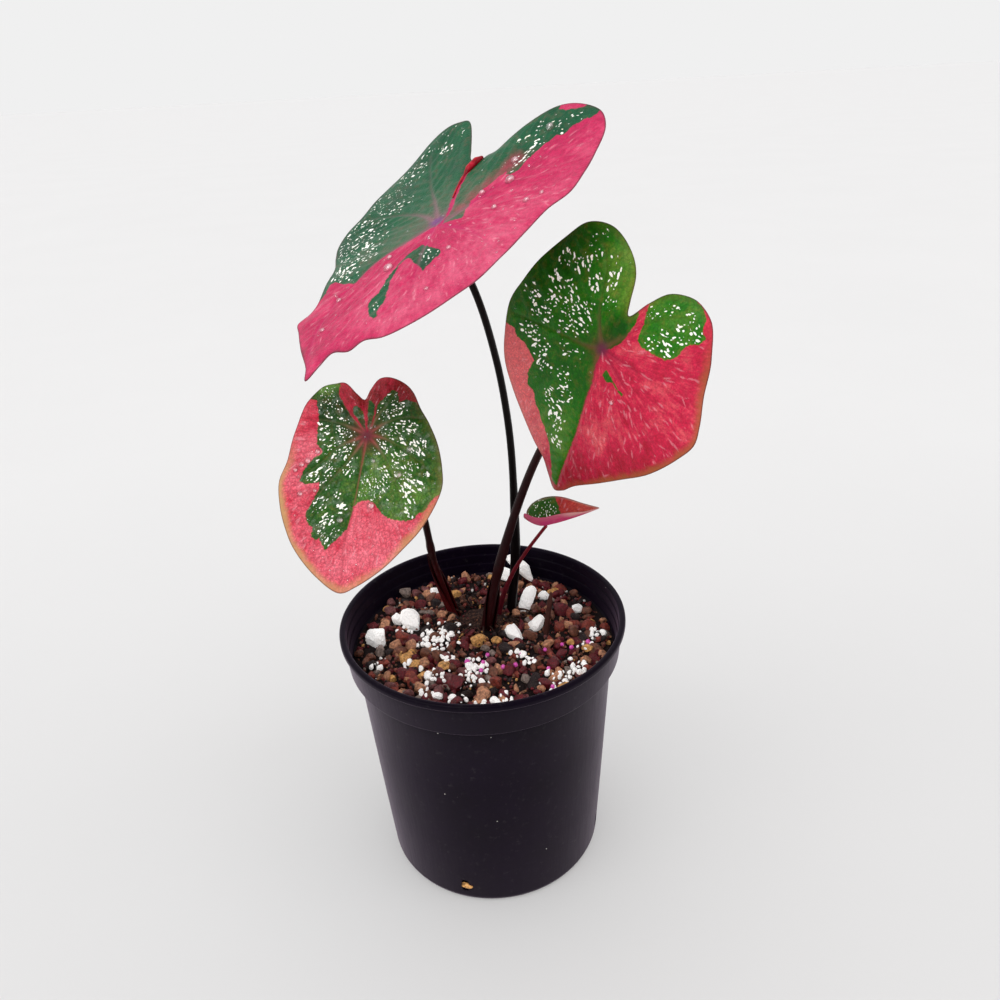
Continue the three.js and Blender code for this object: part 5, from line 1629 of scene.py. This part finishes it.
    def spots(self, name, blade, from_rib):
        """Cream flecks in the green, and pale streaks in the pink. Places on a staggered lattice,
        shifted by chance, are kept with the highest of the zones' shares there: a share holds
        inside its zone's reach and dies out just past it. The flecks lie along their zone's
        heading."""
        leaf, fine = blade.leaf, Lattice(FLECK_PITCH)
        pitch, long, wide = leaf["flecks"]
        rng = np.random.default_rng(len(name) * 7 + 3)
        low, high = blade.margin.min(0), blade.margin.max(0)
        x, y = np.meshgrid(*(np.arange(low[k], high[k], pitch) for k in (0, 1)))
        x, y = (m.ravel() + rng.uniform(-0.42, 0.42, m.size) * pitch for m in (x, y))
        zones = np.array(leaf["zones"], float)
        far = np.hypot(x[:, None] - zones[:, 0], y[:, None] - zones[:, 1]) / zones[:, 2]
        share = zones[:, 3] * (1 - smooth(far, 0.75, 1.25))
        keep = rng.uniform(0, 1, len(x)) < share.max(1)
        keep &= (blade.share(x, y) < 0.975) & (depth_in_green(leaf, x, y) > 0.3)
        keep &= Lattice(VEIN_PITCH).read(from_rib, x, y) > 0.75
        home = zones[share.argmax(1)[keep]]
        n = len(home)
        size = home[:, 5] * np.exp(rng.normal(0, 0.3, n))
        drawn_out = rng.choice([0.62, 1.0, 1.5], n, p=[0.4, 0.38, 0.22])
        long_sides = np.clip(long * size * drawn_out, 0.25, 1.9)
        wide_sides = np.clip(wide * size**0.7 * rng.uniform(0.8, 1.25, n), 0.2, 0.8)
        head = np.radians(home[:, 4]) + rng.normal(0, 0.3, n)
        flecks = fine.flecks(np.column_stack([x, y])[keep], long_sides, wide_sides, head)
        places = rng.uniform(low, high, (leaf["streaks"] * 6, 2))
        pink = (blade.share(*places.T) < 0.95) & (depth_in_green(leaf, *places.T) < -0.8)
        places = places[pink][: leaf["streaks"]]
        n = len(places)
        head = np.arctan2(places[:, 1], places[:, 0]) + rng.normal(0, 0.3, n)
        sizes = rng.uniform(0.6, 2.2, n), rng.uniform(0.2, 0.42, n)
        return flecks, fine.flecks(places, *sizes, head)


def dew_finish():
    """Clear water."""
    t = Finish("Dew", Transmission_Weight=1.0, IOR=1.33, Roughness=0.04, Coat_Weight=1.0,
               Coat_IOR=1.8, Coat_Roughness=0.06)
    return t.feed(Normal=t.bump(t.noise(t.place(), 0.6, 1.0), 0.03, 0.0001))


# A drop's rings, as shares of its radius: over its dome from the top, then its flat side. The
# dome's foot and the flat side lie DROP_FOOT and DROP_BASE above the middle of the blade, and the
# dome stands DROP_HEIGHT radii over its foot.
DROP_RINGS = np.array([0.3, 0.55, 0.75, 0.9, 0.98, 1.0, 0.6])[:, None]
DROP_HEIGHT, DROP_FOOT, DROP_BASE = 0.8, 0.34, 0.12


class CALADIUM_OT_dew(bpy.types.Operator):
    """Make the drops of water on the blades: low domes that swell over the skin"""

    bl_idname = "caladium.dew"
    bl_label = "Dew"

    def execute(self, context):
        """At polar angle a and share s of its radius r a drop's dome stands 0.8·r·sqrt(1 - s²)
        over its foot, and its flat side lies within the blade."""
        shell = Shell()
        a = -angles(16)[None]
        dome = DROP_HEIGHT * np.sqrt(np.clip(1 - DROP_RINGS**2, 0, 1))
        for name in ("top", "right", "left"):
            blade = Blade(LEAVES[name], 400)
            rng = np.random.default_rng(len(name))
            places = rng.uniform(blade.margin.min(0), blade.margin.max(0), (110, 2))
            places = places[blade.share(*places.T) < 0.94][:60]
            small = np.column_stack([places, rng.uniform(0.22, 0.5, len(places))])
            for x, y, r in [*LEAVES[name]["drops"], *(small[:8] if name == "right" else small)]:
                r = r * 1.15
                lift = DROP_FOOT + r * dome + 0 * a
                lift[-1] = DROP_BASE
                px, py = x + r * DROP_RINGS * np.cos(a), y + r * DROP_RINGS * np.sin(a)
                ends = np.array([DROP_FOOT + DROP_HEIGHT * r, DROP_BASE])
                poles = blade.place(np.full(2, x), np.full(2, y), ends)
                shell.add(*closed_rows(blade.place(px, py, lift), poles))
        drops = shell.make("dew_drops", [dew_finish()], "dew")
        drops.visible_shadow = drops.visible_diffuse = False
        return {"FINISHED"}


# ---------- Stage ----------


FLOOR_HALF = 30.0
# Each far soft light: the way to it, its spread in degrees, its strength and colour, and whether
# the floor is left out of what it lights or is all that it lights.
LAMPS = {
    "Window light": (WINDOW, 64, 1.4, (1.0, 0.99, 0.97), "EXCLUDE"),
    "Floor light": (WINDOW, 64, 1.95, (1.0, 0.99, 0.97), "INCLUDE"),
    "Fill light": ((0.7, -0.55, 0.6), 60, 0.5, (0.96, 0.97, 1.0), ""),
    "Glint": ((-0.4, -0.4, 1.0), 12, 0.4, (1.0, 1.0, 1.0), "EXCLUDE"),
}
# The camera's place in metres and its turns in degrees.
CAMERA_PLACE, CAMERA_TURNS = (0, -0.30079, 0.31936), (63.532, 2.777, -3.304)


def floor_finish(s):
    """Matt and pale, a little cloudy, and brighter away from the front, a painted light gradient.
    """
    t = Finish("Pale floor", Roughness=0.9, Specular_IOR_Level=0.1)
    place = t.place()
    cloud = t.group("Cloudy tone", Place=place, Scale=0.004, Low=0.985, High=1.0)
    away = t.add("SeparateXYZ", {0: place}).outputs[1]
    # Painted light: the floor's colour grows brighter away from the front.
    cloud = t.times(cloud, t.step(away, -100.0, 500.0, 1.0, 1.07))
    return t.feed(Base_Color=t.shaded(tuple(s.floor), cloud))


class CALADIUM_OT_stage(bpy.types.Operator):
    """Make the pale floor, the soft lights and the camera"""

    bl_idname = "caladium.stage"
    bl_label = "Floor, light and camera"

    def execute(self, context):
        scene = context.scene
        scene.view_settings.view_transform = "Standard"
        floor = self.floor(scene)
        self.room(scene)
        for name, lamp in LAMPS.items():
            self.lamp(name, *lamp, floor)
        camera = bpy.data.objects.new("camera", bpy.data.cameras.new("camera"))
        scene.collection.objects.link(camera)
        camera.data.lens, camera.data.sensor_width = scene.caladium_stage.lens, 36
        camera.data.clip_start, camera.data.clip_end = 0.01, 50
        camera.location = CAMERA_PLACE
        camera.rotation_euler = Euler([math.radians(a) for a in CAMERA_TURNS])
        scene.camera = camera
        return {"FINISHED"}

    def floor(self, scene):
        """A thin square slab whose top lies at height 0."""
        corners = ((-1, -1), (1, -1), (1, 1), (-1, 1))
        points = [(x * FLOOR_HALF, y * FLOOR_HALF, z) for z in (0, -0.02) for x, y in corners]
        faces = [
            (0, 1, 2, 3), (7, 6, 5, 4), (0, 4, 5, 1), (1, 5, 6, 2), (2, 6, 7, 3), (3, 7, 4, 0)]
        mesh = bpy.data.meshes.new("floor")
        mesh.from_pydata(points, [], faces)
        mesh.materials.append(floor_finish(scene.caladium_stage))
        floor = bpy.data.objects.new("floor", mesh)
        scene.collection.objects.link(floor)
        return floor

    def room(self, scene):
        """Soft pale light all round, dark in front and warm on the right. The view sees one even
        pale tone."""
        scene.world = bpy.data.worlds.new("Soft room")
        scene.world.use_nodes = True
        w = Nodes(scene.world.node_tree)
        back = next(n for n in w.tree.nodes if n.type == "BACKGROUND")
        seen = w.add("LightPath").outputs["Is Camera Ray"]
        way = w.add("TexCoord").outputs["Generated"]
        front, left = (
            w.add("VectorMath", {0: way, 1: side}, operation="DOT_PRODUCT").outputs["Value"]
            for side in ((0.1, -0.98, 0.1), (-0.9, 0.1, 0.4)))
        room = w.mix(w.step(front, 0.2, 0.95), (0.81, 0.81, 0.82), (0.12, 0.12, 0.13))
        room = w.mix(w.step(left, -0.9, 0.9, 0.45, 0.0), room, (0.5, 0.46, 0.44))
        w.tree.links.new(w.mix(seen, room, colour(240, 240, 240)), back.inputs["Color"])

    def lamp(self, name, way, spread, strength, shade, state, floor):
        """A far soft light that shines from the way given. One that leaves out the floor lights all
        the rest, and one that holds only the floor casts no shadow on it."""
        data = bpy.data.lights.new(name, "SUN")
        data.use_shadow = state != "INCLUDE"
        data.angle, data.energy, data.color = math.radians(spread), strength, shade
        lamp = bpy.data.objects.new(name, data)
        x, y, z = way
        lamp.rotation_euler = (math.atan2(math.hypot(x, y), z), 0, math.atan2(x, -y))
        bpy.context.scene.collection.objects.link(lamp)
        if state:
            lit = bpy.data.collections.new(name)
            lit.objects.link(floor)
            lit.collection_objects[0].light_linking.link_state = state
            lamp.light_linking.receiver_collection = lit


class CALADIUM_PT_panel(bpy.types.Panel):
    """Lists the settings and the pieces of the plant"""

    bl_label = "Potted caladium"
    bl_idname = "CALADIUM_PT_panel"
    bl_space_type = "VIEW_3D"
    bl_region_type = "UI"
    bl_category = "Caladium"

    def draw(self, context):
        for name, kind in SETTINGS.items():
            box = self.layout.box()
            for key in kind.__annotations__:
                box.prop(getattr(context.scene, name), key)
        for made in OPERATORS:
            self.layout.operator(made.bl_idname)


SETTINGS = {
    "caladium_pot": CaladiumPotSettings,
    "caladium_mix": CaladiumMixSettings,
    "caladium_leaves": CaladiumLeafSettings,
    "caladium_stage": CaladiumStageSettings,
}
OPERATORS = (
    CALADIUM_OT_stage,
    CALADIUM_OT_pot,
    CALADIUM_OT_mix,
    CALADIUM_OT_tuber,
    CALADIUM_OT_petioles,
    CALADIUM_OT_leaves,
    CALADIUM_OT_dew,
)


def register():
    """Makes the settings, operators and panel known."""
    for kind in (*SETTINGS.values(), *OPERATORS, CALADIUM_PT_panel):
        bpy.utils.register_class(kind)
    for name, kind in SETTINGS.items():
        setattr(bpy.types.Scene, name, PointerProperty(type=kind))


def unregister():
    """Takes them away again."""
    for name in SETTINGS:
        delattr(bpy.types.Scene, name)
    for kind in (CALADIUM_PT_panel, *reversed(OPERATORS), *reversed(SETTINGS.values())):
        bpy.utils.unregister_class(kind)


def main():
    """Builds every piece in order."""
    register()
    make_groups()
    for made in OPERATORS:
        family, name = made.bl_idname.split(".")
        getattr(getattr(bpy.ops, family), name)()


if __name__ == "__main__":
    main()
